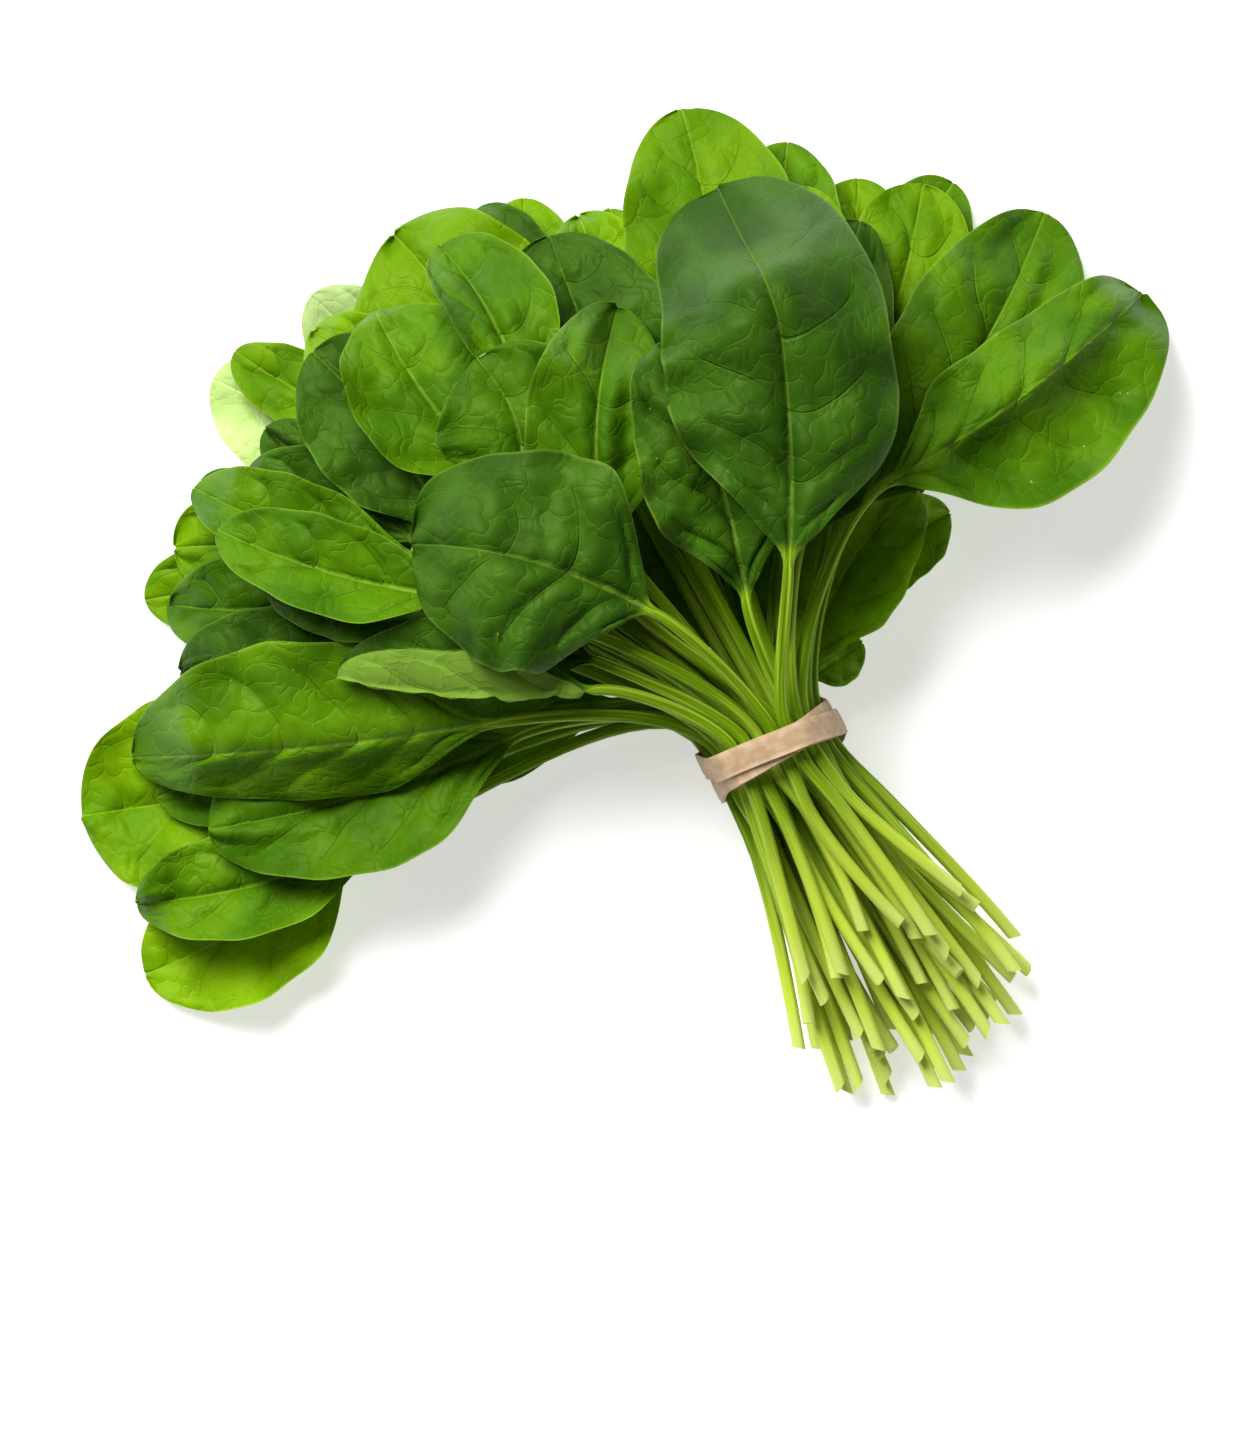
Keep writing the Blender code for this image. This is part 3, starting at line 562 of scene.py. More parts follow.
@dataclass(frozen=True)
class BladeCut:
    """The outline and thickness of a blade.

    The rib and the groove along it are as deep and as wide as these shares of the midrib's radius.
    """

    ease: float = 1.05
    fullest: float = 1.06
    roundness: float = 0.42
    shoulder: float = 0.26
    shoulder_end: float = 0.36
    thickness: float = 0.5
    rib: float = 1.5
    rib_width: float = 1.15
    groove: float = 0.75
    groove_width: float = 0.8

    @staticmethod
    def places(even: np.ndarray) -> np.ndarray:
        """Even steps from base to tip, drawn closer together towards the tip."""
        return 0.45 * even + 0.55 * np.sin(0.5 * math.pi * even)

    def half_width(self, u: np.ndarray, width: float, blunt: float) -> np.ndarray:
        """Half width of a spoon-shaped blade at u from base to tip. blunt under 1 rounds it.

        Args:
            u: how far from the blade's base to its tip, from 0 to 1.
            width: the blade's full width.
            blunt: under 1 for a rounder end.

        Returns:
            The half width in millimetres.
        """
        body = np.sin(math.pi * np.clip(u, 0.0, 1.0) ** self.fullest) ** (self.roundness * blunt)
        shoulder = self.shoulder + (1.0 - self.shoulder) * smooth_step(0.0, self.shoulder_end, u)
        return 0.5 * self.ease * width * body * shoulder

    @staticmethod
    def profile(plan: LeafPlan, columns: np.ndarray) -> np.ndarray:
        """Unit cross-section of the blade.

        Args:
            plan: the leaf.
            columns: the places across it, from -1 to 1.

        Returns:
            Rows of how far sideways, how far up, and the place from -1 to 1.
        """
        fine = np.linspace(0.0, 1.0, 81)
        rows = []
        for v in columns:
            fold, curl = plan.right if v >= 0 else plan.left
            slope = np.radians(fold + curl * fine)
            share = abs(v) * (len(fine) - 1)
            steps = (np.cos(slope), np.sin(slope))
            out, rise = (np.interp(share, range(len(fine)), np.cumsum(s) - s) for s in steps)
            rows.append((np.sign(v) * out / (len(fine) - 1), rise / (len(fine) - 1), v))
        return np.array(rows)


@dataclass(frozen=True)
class StalkCut:
    """The thickness of a stalk, the groove along its top, its fine ribs and its slanting cut.

    All are shares of a radius. The groove deepens from deepens[0] to deepens[1] millimetres along.
    """

    end: float = 1.04
    above_neck: float = 1.08
    at_blade: float = 0.84
    at_tip: float = 0.25
    groove: Pair = (0.05, 0.27)
    deepens: Pair = (-60.0, -5.0)
    groove_width: float = 0.45
    ribs: float = 5.0
    rib: float = 0.022
    slant: Pair = (0.9, 0.5)


NECK = Neck()
MOUND = Mound()
TAIL = Tail()
CUT = BladeCut()
STALK = StalkCut()


# One leaf -----------------------------------------------------------------------------------


class LeafForm:
    """A leaf's stations from its cut end to its tip, and the skin round them.

    Up to ROLL_EASE and FOLD_EASE of the blade its roll and its folds grow, and from FLATTER_FROM
    the folds lose FLATTER_TIP of their height. SWEEP is how straight a stalk leaves the neck: it
    grows with the angle to the left. HOOK is where the tip turns aside.
    """

    ROLL_EASE = 0.4
    FOLD_EASE = 0.26
    FLATTER_TIP, FLATTER_FROM = 0.6, 0.72
    NECK_TO_BLADE = 0.10
    COLUMN_POWER = 1.2
    EDGE_POWER = 10
    NARROWEST, TIP_SHARE = 0.9, 0.03
    BOW_START, ARRIVE = 3.0, 0.7
    SWEEP, SWEEP_GAIN, SWEEP_ANGLES = 0.55, 0.42, (0.7, 1.3)
    HOOK = (0.55, 1.05)
    LEAST_BASE = 0.55

    def __init__(self, plan: LeafPlan, index: int, slot: Pair, fineness: Fineness) -> None:
        """Draw the centre line and the widths.

        Args:
            plan: the leaf.
            index: its place in the order of laying.
            slot: its sideways place and height in the neck.
            fineness: how finely it is cut.
        """
        self.plan, self.index = plan, index
        self.tail, self.stalk, self.blade, self.across = fineness.value
        self.first_blade = self.tail + 2 + self.stalk
        even = np.linspace(0.0, 1.0, self.blade + 1)[1:]
        self.u = np.concatenate((np.zeros(self.first_blade), CUT.places(even)))
        self.sigma = self.station_marks(even)
        self.spine = self.draw_spine(slot)
        self.radius = self.draw_radius()
        self.along = self.measure()
        self.length = self.along[-1]

    def station_marks(self, even: np.ndarray) -> np.ndarray:
        """A mark for each station that means the same place at every fineness.

        Args:
            even: even steps along the blade.

        Returns:
            From -2 at the cut end, by -1 and 0 in the neck and 1 at the base, to 2 at the tip.
        """
        tail = -1.0 - np.linspace(0.0, 1.0, self.tail + 1)[1:][::-1]
        stalk = np.linspace(0.0, 1.0, self.stalk + 1)[1:]
        return np.concatenate((tail, (-1.0, 0.0), stalk, 1.0 + even))

    def draw_spine(self, slot: Pair) -> np.ndarray:
        """Centre line through tail, neck, stalk and blade.

        Args:
            slot: its sideways place and height in the neck.

        Returns:
            A point for each station.
        """
        axis, side = NECK.directions()
        tail = TAIL.points(self.plan, self.index, slot, NECK, self.tail)
        middle = np.array(NECK.centre) + side * slot[0]
        ends = [middle + axis * s for s in (-NECK.half_length, NECK.half_length)]
        neck = np.array([[*end, slot[1]] for end in ends])
        return np.vstack((tail, neck, self.draw_fore(slot, ends[1])))

    def draw_fore(self, slot: Pair, start: np.ndarray) -> np.ndarray:
        """Centre line above the neck: the stalk to the blade's base, then the blade to its tip.

        Args:
            slot: its sideways place and height in the neck.
            start: where it leaves the neck.

        Returns:
            A point for each station above the neck.
        """
        axis = NECK.directions()[0]
        base, tip = np.array(self.plan.base, float), np.array(self.plan.tip, float)
        run, reach = np.linalg.norm(base - start), np.linalg.norm(tip - base)
        onward = (tip - base) / reach
        sideways = np.array((onward[1], -onward[0]))
        base_way = onward + self.BOW_START * sideways * self.plan.bow / reach
        to_left = float(smooth_step(*self.SWEEP_ANGLES, -NECK.fan_angle(self.plan)))
        sweep = self.SWEEP + self.SWEEP_GAIN * to_left
        ways = (axis * sweep * run, base_way * self.ARRIVE * run)
        stalk = hermite(start, base, *ways, self.stalk + 1)[1:]
        u = self.u[self.first_blade :, None]
        bend = self.plan.bow * 4.0 * u * (1.0 - u) + self.plan.hook * smooth_step(*self.HOOK, u)
        plan_line = np.vstack((stalk, base + (tip - base) * u + sideways * bend))
        along = np.cumsum(np.linalg.norm(np.diff(np.vstack((start, plan_line)), axis=0), axis=1))
        return np.column_stack((plan_line, self.draw_heights(slot, along)))

    def draw_heights(self, slot: Pair, along: np.ndarray) -> np.ndarray:
        """Heights eased through the neck, the blade's base, its middle and its tip.

        Args:
            slot: its sideways place and height in the neck.
            along: how far each station lies from the neck.

        Returns:
            The height of each of these stations.
        """
        plan = self.plan
        base = MOUND.height(plan, plan.base)
        middle = MOUND.height(plan, 0.5 * (np.array(plan.base) + np.array(plan.tip)))
        tip = MOUND.height(plan, plan.tip) - plan.droop
        keys = np.array([slot[1], max(base, self.LEAST_BASE * slot[1]), middle, tip])
        total = along[self.stalk - 1]
        places = np.array([0.0, total, 0.5 * (total + along[-1]), along[-1]])
        return spline_through(keys, places, along, level_start=True)

    def draw_radius(self) -> np.ndarray:
        """Radius at each station of the stalk and along the midrib.

        Returns:
            The radii in millimetres.
        """
        tail = np.linspace(1.0, STALK.end, self.tail)
        stalk = np.linspace(STALK.above_neck, STALK.at_blade, self.stalk)
        midrib = STALK.at_blade * (1.0 - (1.0 - STALK.at_tip) * self.u[self.first_blade :])
        return NECK.stalk_radius * np.concatenate((tail, (1.0, 1.0), stalk, midrib))

    def measure(self) -> np.ndarray:
        """Distance of each station from the blade's base, negative on the stalk.

        Returns:
            The distances in millimetres.
        """
        steps = np.linalg.norm(np.diff(self.spine, axis=0), axis=1)
        whole = np.concatenate(([0.0], np.cumsum(steps)))
        return whole - whole[self.first_blade - 1]

    def frames(self) -> tuple[np.ndarray, np.ndarray, np.ndarray]:
        """Onward, side and up vectors at each station, the last two turned by the leaf's roll.

        Returns:
            Three unit vectors for each station.
        """
        ways = np.gradient(self.spine, axis=0)
        ways /= np.linalg.norm(ways, axis=1)[:, None]
        sides = np.cross(ways, (0.0, 0.0, 1.0))
        sides /= np.linalg.norm(sides, axis=1)[:, None]
        ups = np.cross(sides, ways)
        roll = np.radians(self.plan.roll) * smooth_step(0.0, self.ROLL_EASE, self.u)
        cos, sin = np.cos(roll)[:, None], np.sin(roll)[:, None]
        return ways, sides * cos + ups * sin, ups * cos - sides * sin

    def widths(self) -> np.ndarray:
        """Half width at each station.

        Returns:
            The half widths in millimetres.
        """
        shape = CUT.half_width(self.u, self.plan.width, self.plan.blunt)
        widths = np.maximum(shape, self.NARROWEST * self.radius)
        widths[-1] = max(0.5, self.TIP_SHARE * self.plan.width)
        return widths

    def columns(self) -> np.ndarray:
        """The place from -1 to 1 of each column across the blade, closer together at the midrib."""
        even = np.linspace(-1.0, 1.0, self.across)
        return np.sign(even) * np.abs(even) ** self.COLUMN_POWER

    def ring_columns(self) -> np.ndarray:
        """The column of each ring point: over the top from the left margin, and back below."""
        return np.concatenate((np.arange(self.across), np.arange(self.across - 2, 0, -1)))

    def middles(self, relief: "LeafRelief", fine: bool) -> np.ndarray:
        """The blade's middle surface. On the stalk every column lies on the centre line.

        Args:
            relief: the unevenness of this leaf.
            fine: whether the small relief is cut as well as the broad one.

        Returns:
            Station by station, a row of points from the left margin to the right.
        """
        _, sides, ups = self.frames()
        profile = CUT.profile(self.plan, self.columns())
        start, u, v = self.first_blade, self.u[self.first_blade :, None], profile[:, 2][None]
        width = self.widths()[start:, None] * relief.outline(u, v)
        bent = smooth_step(0.0, self.FOLD_EASE, u)
        bent = bent * (1.0 - self.FLATTER_TIP * smooth_step(self.FLATTER_FROM, 1.0, u))
        rise = profile[:, 1] * width * bent + relief.broad(u, v)
        if fine:
            rise = rise + relief.small(u, v, v * width)
        points = np.repeat(self.spine[:, None], self.across, axis=1)
        out = (profile[:, 0] * width)[..., None]
        points[start:] += out * sides[start:, None] + rise[..., None] * ups[start:, None]
        return points

    def skin(self, middles: np.ndarray, fine: bool) -> np.ndarray:
        """Points of the leaf's surface round its middle surface.

        Args:
            middles: the middle surface, laid or not.
            fine: whether the rib and the grooves are cut.

        Returns:
            Station by station, a ring of points from the left margin over the top and back below.
        """
        start = self.first_blade
        rounds = self.stalk_rings(middles, fine)
        flats = self.blade_rings(middles[start:], fine)
        share = smooth_step(0.0, self.NECK_TO_BLADE, self.u[start:])[:, None, None]
        if not fine:
            share = np.ones_like(share)
        return np.concatenate((rounds[:start], rounds[start:] * (1.0 - share) + flats * share))

    def stalk_rings(self, middles: np.ndarray, fine: bool) -> np.ndarray:
        """Rings of the stalk: round when it is laid, grooved and ribbed when it is cut finely.

        Args:
            middles: the middle surface.
            fine: whether it is cut finely.

        Returns:
            A ring of points for each station.
        """
        ways, sides, ups = self.frames()
        order = self.ring_columns()
        angle = math.pi - 2.0 * math.pi * np.arange(len(order)) / len(order)
        shape = np.ones((len(self.spine), len(order)))
        if fine:
            from_top = np.abs(np.angle(np.exp(1j * (angle - math.pi / 2))))
            least, gain = STALK.groove
            deep = least + gain * smooth_step(*STALK.deepens, self.along)[:, None]
            shape -= deep * np.exp(-((from_top / STALK.groove_width) ** 2))
            shape += STALK.rib * np.cos(STALK.ribs * angle + self.index)
        radius = self.radius[:, None] * shape
        out, rise = radius * np.cos(angle), radius * np.sin(angle)
        centres = middles.copy()
        centres[self.first_blade :] = middles[self.first_blade :, self.across // 2][:, None]
        rings = centres[:, order] + out[..., None] * sides[:, None] + rise[..., None] * ups[:, None]
        if fine:
            aside, up = (share * jitter(self.index, 7 + k) for k, share in enumerate(STALK.slant))
            rings[0] += (aside * out[0] + up * rise[0])[:, None] * ways[0]
        return rings

    def blade_rings(self, middles: np.ndarray, fine: bool) -> np.ndarray:
        """Rings of the blade: its upper skin, and its lower skin with the rib.

        Args:
            middles: the blade's middle surface.
            fine: whether the groove is cut.

        Returns:
            A ring of points for each station of the blade.
        """
        normals = np.cross(np.gradient(middles, axis=1), np.gradient(middles, axis=0))
        normals /= np.maximum(np.linalg.norm(normals, axis=2), 1e-9)[..., None]
        radius = self.radius[self.first_blade :, None]
        centre = middles[:, self.across // 2][:, None]
        lateral = np.linalg.norm(middles - centre, axis=2)
        edge = np.abs(self.columns())[None] ** self.EDGE_POWER
        thick = 0.5 * CUT.thickness * np.sqrt(np.clip(1.0 - edge, 0.0, 1.0)) * np.ones_like(radius)
        rib = radius * CUT.rib * np.exp(-((lateral / (CUT.rib_width * radius)) ** 2))
        if fine:
            groove = radius * CUT.groove * np.exp(-((lateral / (CUT.groove_width * radius)) ** 2))
        else:
            groove = 0.0
        top = middles + normals * (thick - groove)[..., None]
        low = middles - normals * (thick + rib)[..., None]
        return np.concatenate((top, low[:, -2:0:-1]), axis=1)


class LeafRelief:
    """The unevenness of one blade: ruffled margin, broad swell, blisters and sunken veins.

    Lengths and depths are millimetres, the widths of veins and of the dip among them. The ruffle
    and the swell are for a blade REFERENCE wide. TURNS is how far a wave turns along the blade, in
    radians. Pairs are where a smooth step starts and ends.
    """

    REFERENCE = 50.0
    VEIN_SPACING, FEWEST_VEINS = 17.5, 3.2
    SWEEP, SWEEP_STRAY, SWEEP_POWER, SWEEP_LOSS = 0.30, 0.06, 1.3, 0.35
    STRAY, STRAY_LENGTH = 0.10, 34.0
    WANDER, WANDER_TURNS = 0.035, 8.2
    TOOTH, TOOTH_TURNS = 0.014, 29.0
    RUFFLE, RUFFLE_LENGTH, RUFFLE_POWER = 2.3, 3.6, 2.2
    SWELL, SWELL_LENGTH = 1.8, 46.0
    BROAD_IN = (0.04, 0.28)
    SMALL_IN, SMALL_OUT = (0.03, 0.16), (0.84, 0.97)
    PAST_ARCH, MARGIN, MARGIN_LOSS = (0.0, 0.14), (0.8, 1.0), 0.7
    PEAK_AT, PEAK_LENGTH, PEAK_WIDTH = 0.66, 0.16, 0.6
    BESIDE_VEIN, VEIN_WIDTH = 1.15, 2.1
    BESIDE_ARCH, ARCH_WIDTH = 0.14, 1.7
    BLISTER, BLISTER_CELL, BLISTER_RIM = 0.34, 8.5, 0.34
    DIP, DIP_WIDTH = 1.0, 2.6
    SINK = 1.4

    def __init__(self, plan: LeafPlan, index: int) -> None:
        """Choose this leaf's pattern.

        Args:
            plan: the leaf.
            index: its place in the order of laying.
        """
        self.plan, self.seed = plan, 1.0 + 0.731 * index
        self.length = math.dist(plan.base, plan.tip) * 1.05
        self.veins = max(self.FEWEST_VEINS, self.length / self.VEIN_SPACING)
        self.sweep = self.SWEEP + self.SWEEP_STRAY * jitter(index, 4)

    def outline(self, u: np.ndarray, v: np.ndarray) -> np.ndarray:
        """How much wider or narrower than plan each side is.

        Args:
            u: how far from the blade's base to its tip, from 0 to 1.
            v: how far across, from -1 at the left margin to 1 at the right.

        Returns:
            A share of the planned width.
        """
        side = np.sign(v)
        wander = self.WANDER * np.sin(self.WANDER_TURNS * u + self.seed * 2.1 + 1.7 * side)
        tooth = self.TOOTH * np.sin(self.TOOTH_TURNS * u + self.seed * 5.3 + 2.9 * side)
        return (1.0 + wander + tooth) * (1.0 + self.plan.skew * side)

    def broad(self, u: np.ndarray, v: np.ndarray) -> np.ndarray:
        """Ruffles along the margin and a slow swell, in millimetres.

        Args:
            u: how far from the blade's base to its tip, from 0 to 1.
            v: how far across, from -1 at the left margin to 1 at the right.

        Returns:
            The rise at each place.
        """
        size = self.plan.width / self.REFERENCE
        side = np.sign(v)
        phase = self.length * u / (self.RUFFLE_LENGTH + 0.5 * side) + self.seed * 3.0 + 2.0 * side
        phase = phase + 1.1 * np.sin(5.0 * u + self.seed)
        margin = np.abs(v) ** self.RUFFLE_POWER
        ruffle = self.RUFFLE * self.plan.ruffle * size * margin * np.sin(phase)
        x, y = v * self.plan.width / 2, u * self.length
        swell = self.SWELL * self.plan.quilt * size * waves(x, y, self.SWELL_LENGTH, self.seed)
        from_peak = ((u - self.PEAK_AT) / self.PEAK_LENGTH) ** 2
        peak = self.plan.arch * np.exp(-from_peak - (v / self.PEAK_WIDTH) ** 2)
        return (ruffle + swell) * smooth_step(*self.BROAD_IN, u) + peak

    def vein_phase(self, u: np.ndarray, v: np.ndarray) -> np.ndarray:
        """Grows by one from each side vein to the next, and is a whole number and a half on one.

        Args:
            u: how far from the blade's base to its tip, from 0 to 1.
            v: how far across, from -1 at the left margin to 1 at the right.

        Returns:
            The count of veins at each place.
        """
        side = 0.25 * np.tanh(5.0 * v)
        bend = self.sweep * np.abs(v) ** self.SWEEP_POWER * (1.0 - self.SWEEP_LOSS * u)
        pattern = waves(v * 20.0, u * self.length, self.STRAY_LENGTH, self.seed + 9.0)
        stray = self.STRAY * pattern
        return self.veins * (u ** 0.9 - bend) + side + stray + 6.0

    @staticmethod
    def loop_line(phase: np.ndarray, v: np.ndarray) -> np.ndarray:
        """How far outside the arches that join the side veins near the margin a place is.

        Args:
            phase: the count of veins.
            v: how far across, from -1 at the left margin to 1 at the right.

        Returns:
            In shares of the half width, negative inside the arches.
        """
        from_vein = 2.0 * np.abs(phase - np.floor(phase) - 0.5)
        bulge = np.sqrt(np.clip(1.0 - (1.0 - from_vein) ** 2, 0.0, 1.0))
        return np.abs(v) - (ARCH_FOOT + ARCH_BULGE * bulge)

    def small(self, u: np.ndarray, v: np.ndarray, lateral: np.ndarray) -> np.ndarray:
        """Blisters between the veins and the dip along the midrib, in millimetres.

        Args:
            u: how far from the blade's base to its tip, from 0 to 1.
            v: how far across, from -1 at the left margin to 1 at the right.
            lateral: how far from the midrib.

        Returns:
            The rise at each place.
        """
        phase = self.vein_phase(u, v)
        away = np.abs(phase - np.floor(phase) - 0.5) * self.length / self.veins * 0.8
        outside = self.loop_line(phase, v)
        half = self.plan.width / 2
        fade = smooth_step(*self.SMALL_IN, u) * (1.0 - smooth_step(*self.SMALL_OUT, u))
        inner = 1.0 - smooth_step(*self.PAST_ARCH, outside)
        side_veins = (1.0 - np.exp(-((away / self.VEIN_WIDTH) ** 2))) * inner + (1.0 - inner)
        arches = 1.0 - np.exp(-((outside * half / self.ARCH_WIDTH) ** 2))
        dip = np.exp(-((lateral / self.DIP_WIDTH) ** 2))
        rims = cell_rims(lateral + 0.0 * u, u * self.length + 0.0 * v, self.BLISTER_CELL, self.seed)
        blisters = 1.0 - np.exp(-((rims / self.BLISTER_RIM) ** 2))
        margin = 1.0 - self.MARGIN_LOSS * smooth_step(*self.MARGIN, np.abs(v))
        amount = self.BESIDE_VEIN * side_veins + self.BESIDE_ARCH * arches
        amount = amount + self.BLISTER * blisters * margin - self.DIP * dip - self.SINK
        return self.plan.quilt * amount * fade


class Heap:
    """What lies on the table so far, as height maps of blades and of everything, and the stalks.

    Lengths are millimetres. ON_STALK and ON_BLADE are how many samples lie between two ring points,
    and a bump spreads BUMP_REACH along the leaf.
    """

    CELL = 1.5
    HALF = 180.0
    NOTHING = -1.0e3
    SAMPLE_STEP, STALK_STEP = 0.9, 1.2
    ON_STALK, ON_BLADE = 2, 5
    BUMP_REACH = 9.0

    def __init__(self, gap: float) -> None:
        """Start with a bare table.

        Args:
            gap: what to leave between blades.
        """
        self.gap = gap
        size = int(2 * self.HALF / self.CELL)
        self.blades = np.full((size, size), self.NOTHING)
        self.everything = np.zeros((size, size))
        self.stalks = np.zeros((0, 4))

    def cells(self, points: np.ndarray) -> tuple[np.ndarray, np.ndarray]:
        """The map cells under points."""
        index = ((points[:, :2] + self.HALF) / self.CELL).astype(int)
        return index[:, 0], index[:, 1]

    @staticmethod
    def samples(
        rings: np.ndarray, first: int, last: int, around: int
    ) -> tuple[np.ndarray, np.ndarray, np.ndarray]:
        """Points spread over the skin between two stations.

        Args:
            rings: the leaf's skin.
            first: the station to start from.
            last: the station to end at.
            around: how many points to put between two points of a ring.

        Returns:
            The points, and for each the station and the ring place that it follows.
        """
        part = rings[first : last + 1]
        step = np.linalg.norm(np.diff(part, axis=0), axis=2).max()
        n, m = max(2, int(step / Heap.SAMPLE_STEP) + 2), around
        s, t = np.meshgrid(np.linspace(0, 1, n), np.linspace(0, 1, m), indexing="ij")
        s, t = s.ravel()[:, None], t.ravel()[:, None]
        a, b = part[:-1, :, None], np.roll(part, -1, axis=1)[:-1, :, None]
        c, d = part[1:, :, None], np.roll(part, -1, axis=1)[1:, :, None]
        points = (1 - s) * ((1 - t) * a + t * b) + s * ((1 - t) * c + t * d)
        grids = np.meshgrid(np.arange(first, last), np.arange(rings.shape[1]), indexing="ij")
        station, place = (np.repeat(grid.ravel(), n * m) for grid in grids)
        return points.reshape(-1, 3), station, place

    def need_from_map(
        self, heights: np.ndarray, form: LeafForm, rings: np.ndarray, on_blade: bool
    ) -> np.ndarray:
        """How far each column must rise for the skin round it to clear a height map.

        Args:
            heights: the map to clear.
            form: the leaf.
            rings: its skin.
            on_blade: whether the blade or the stalk is tested.

        Returns:
            The rise for each station and column.
        """
        span = (form.first_blade, len(rings) - 1) if on_blade else (0, form.first_blade)
        around = self.ON_BLADE if on_blade else self.ON_STALK
        points, station, place = self.samples(rings, *span, around)
        wanted = heights[self.cells(points)] + self.gap - points[:, 2]
        found = np.full((len(rings), form.across), self.NOTHING)
        columns = form.ring_columns()
        following = (place + 1) % len(columns)
        for down in (0, 1):
            for at in (place, following):
                np.maximum.at(found, (station + down, columns[at]), wanted)
        return found

    def need(self, form: LeafForm, rings: np.ndarray) -> np.ndarray:
        """How far each column must rise to clear the table and everything on it.

        Args:
            form: the leaf.
            rings: its skin.

        Returns:
            The rise for each station and column.
        """
        found = self.need_from_map(self.blades, form, rings, False)
        found = np.maximum(found, self.need_from_map(self.everything, form, rings, True))
        for place, column in enumerate(form.ring_columns()):
            found[:, column] = np.maximum(found[:, column], -rings[:, place, 2])
        return np.maximum(found, self.need_from_stalks(form)[:, None])

    def need_from_stalks(self, form: LeafForm) -> np.ndarray:
        """How far each station of a stalk must rise to clear the stalks below it.

        Args:
            form: the leaf.

        Returns:
            The rise for each station.
        """
        found = np.full(len(form.spine), self.NOTHING)
        if not len(self.stalks):
            return found
        for i in range(form.first_blade):
            dense = self.dense_line(form, i)
            offset = dense[:, None, :2] - self.stalks[:, :2]
            apart = np.hypot(offset[..., 0], offset[..., 1])
            reach = dense[:, None, 3] + self.stalks[:, 3] + NECK.gap
            over = self.stalks[:, 2] + np.sqrt(np.maximum(reach**2 - apart**2, 0.0))
            wanted = np.where(apart < reach, over - dense[:, None, 2], self.NOTHING).max()
            found[i : i + 2] = np.maximum(found[i : i + 2], wanted)
        return found

    @staticmethod
    def dense_line(form: LeafForm, i: int) -> np.ndarray:
        """Points with radius close together along one stretch of a stalk.

        Args:
            form: the leaf.
            i: the station that the stretch starts from.

        Returns:
            Rows of x, y, z and radius.
        """
        ends = np.column_stack((form.spine[i : i + 2], form.radius[i : i + 2]))
        count = max(2, int(np.linalg.norm(ends[1, :3] - ends[0, :3]) / Heap.STALK_STEP) + 1)
        t = np.linspace(0.0, 1.0, count)[:, None]
        return ends[0] * (1 - t) + ends[1] * t

    def lay(self, form: LeafForm, relief: LeafRelief) -> np.ndarray:
        """Lift a leaf clear of the heap, settle it once more as it then lies, and add it.

        Args:
            form: the leaf, cut for laying.
            relief: its unevenness.

        Returns:
            The lift of each station and column.
        """
        middles = form.middles(relief, fine=False)
        start = middles[:, :, 2].copy()
        for _ in range(2):
            lifts = self.settle(self.need(form, form.skin(middles, fine=False)), form)
            middles[:, :, 2] += lifts
            form.spine[:, 2] += lifts.mean(axis=1)
        self.add(form, form.skin(middles, fine=False))
        return middles[:, :, 2] - start

    def add(self, form: LeafForm, rings: np.ndarray) -> None:
        """Record a laid leaf in the maps and among the stalks.

        Args:
            form: the leaf, as it lies.
            rings: its skin.
        """
        last = len(form.spine) - 1
        stalk = self.samples(rings, 0, form.first_blade, self.ON_STALK)[0]
        blade = self.samples(rings, form.first_blade, last, self.ON_BLADE)[0]
        np.maximum.at(self.blades, self.cells(blade), blade[:, 2])
        for part in (stalk, blade):
            np.maximum.at(self.everything, self.cells(part), part[:, 2])
        lines = [self.dense_line(form, i) for i in range(form.first_blade)]
        self.stalks = np.vstack([self.stalks, *lines])

    @staticmethod
    def settle(need: np.ndarray, form: LeafForm) -> np.ndarray:
        """Smooth lifts that meet every need: a taut line along the leaf, soft bumps across it.

        Args:
            need: the rise that each station and column needs.
            form: the leaf.

        Returns:
            The lift of each station and column.
        """
        along = form.along - form.along[0]
        wanted = np.maximum(need, 0.0)
        on_stalk = np.arange(len(along)) < form.first_blade
        stiff = np.where(on_stalk, wanted.max(axis=1), np.quantile(wanted, form.plan.stiff, axis=1))
        middle = form.tail
        fore = taut(along[middle:], stiff[middle:])
        back = taut(along[middle + 1] - along[middle + 1 :: -1], stiff[middle + 1 :: -1])[::-1]
        line = np.maximum(np.concatenate((back[:-1], fore[1:])), stiff)
        extra = np.maximum(wanted - line[:, None], 0.0)
        spacing = np.diff(along[form.first_blade :]).mean()
        extra = soften(extra, max(1, int(round(Heap.BUMP_REACH / spacing))))
        return line[:, None] + extra


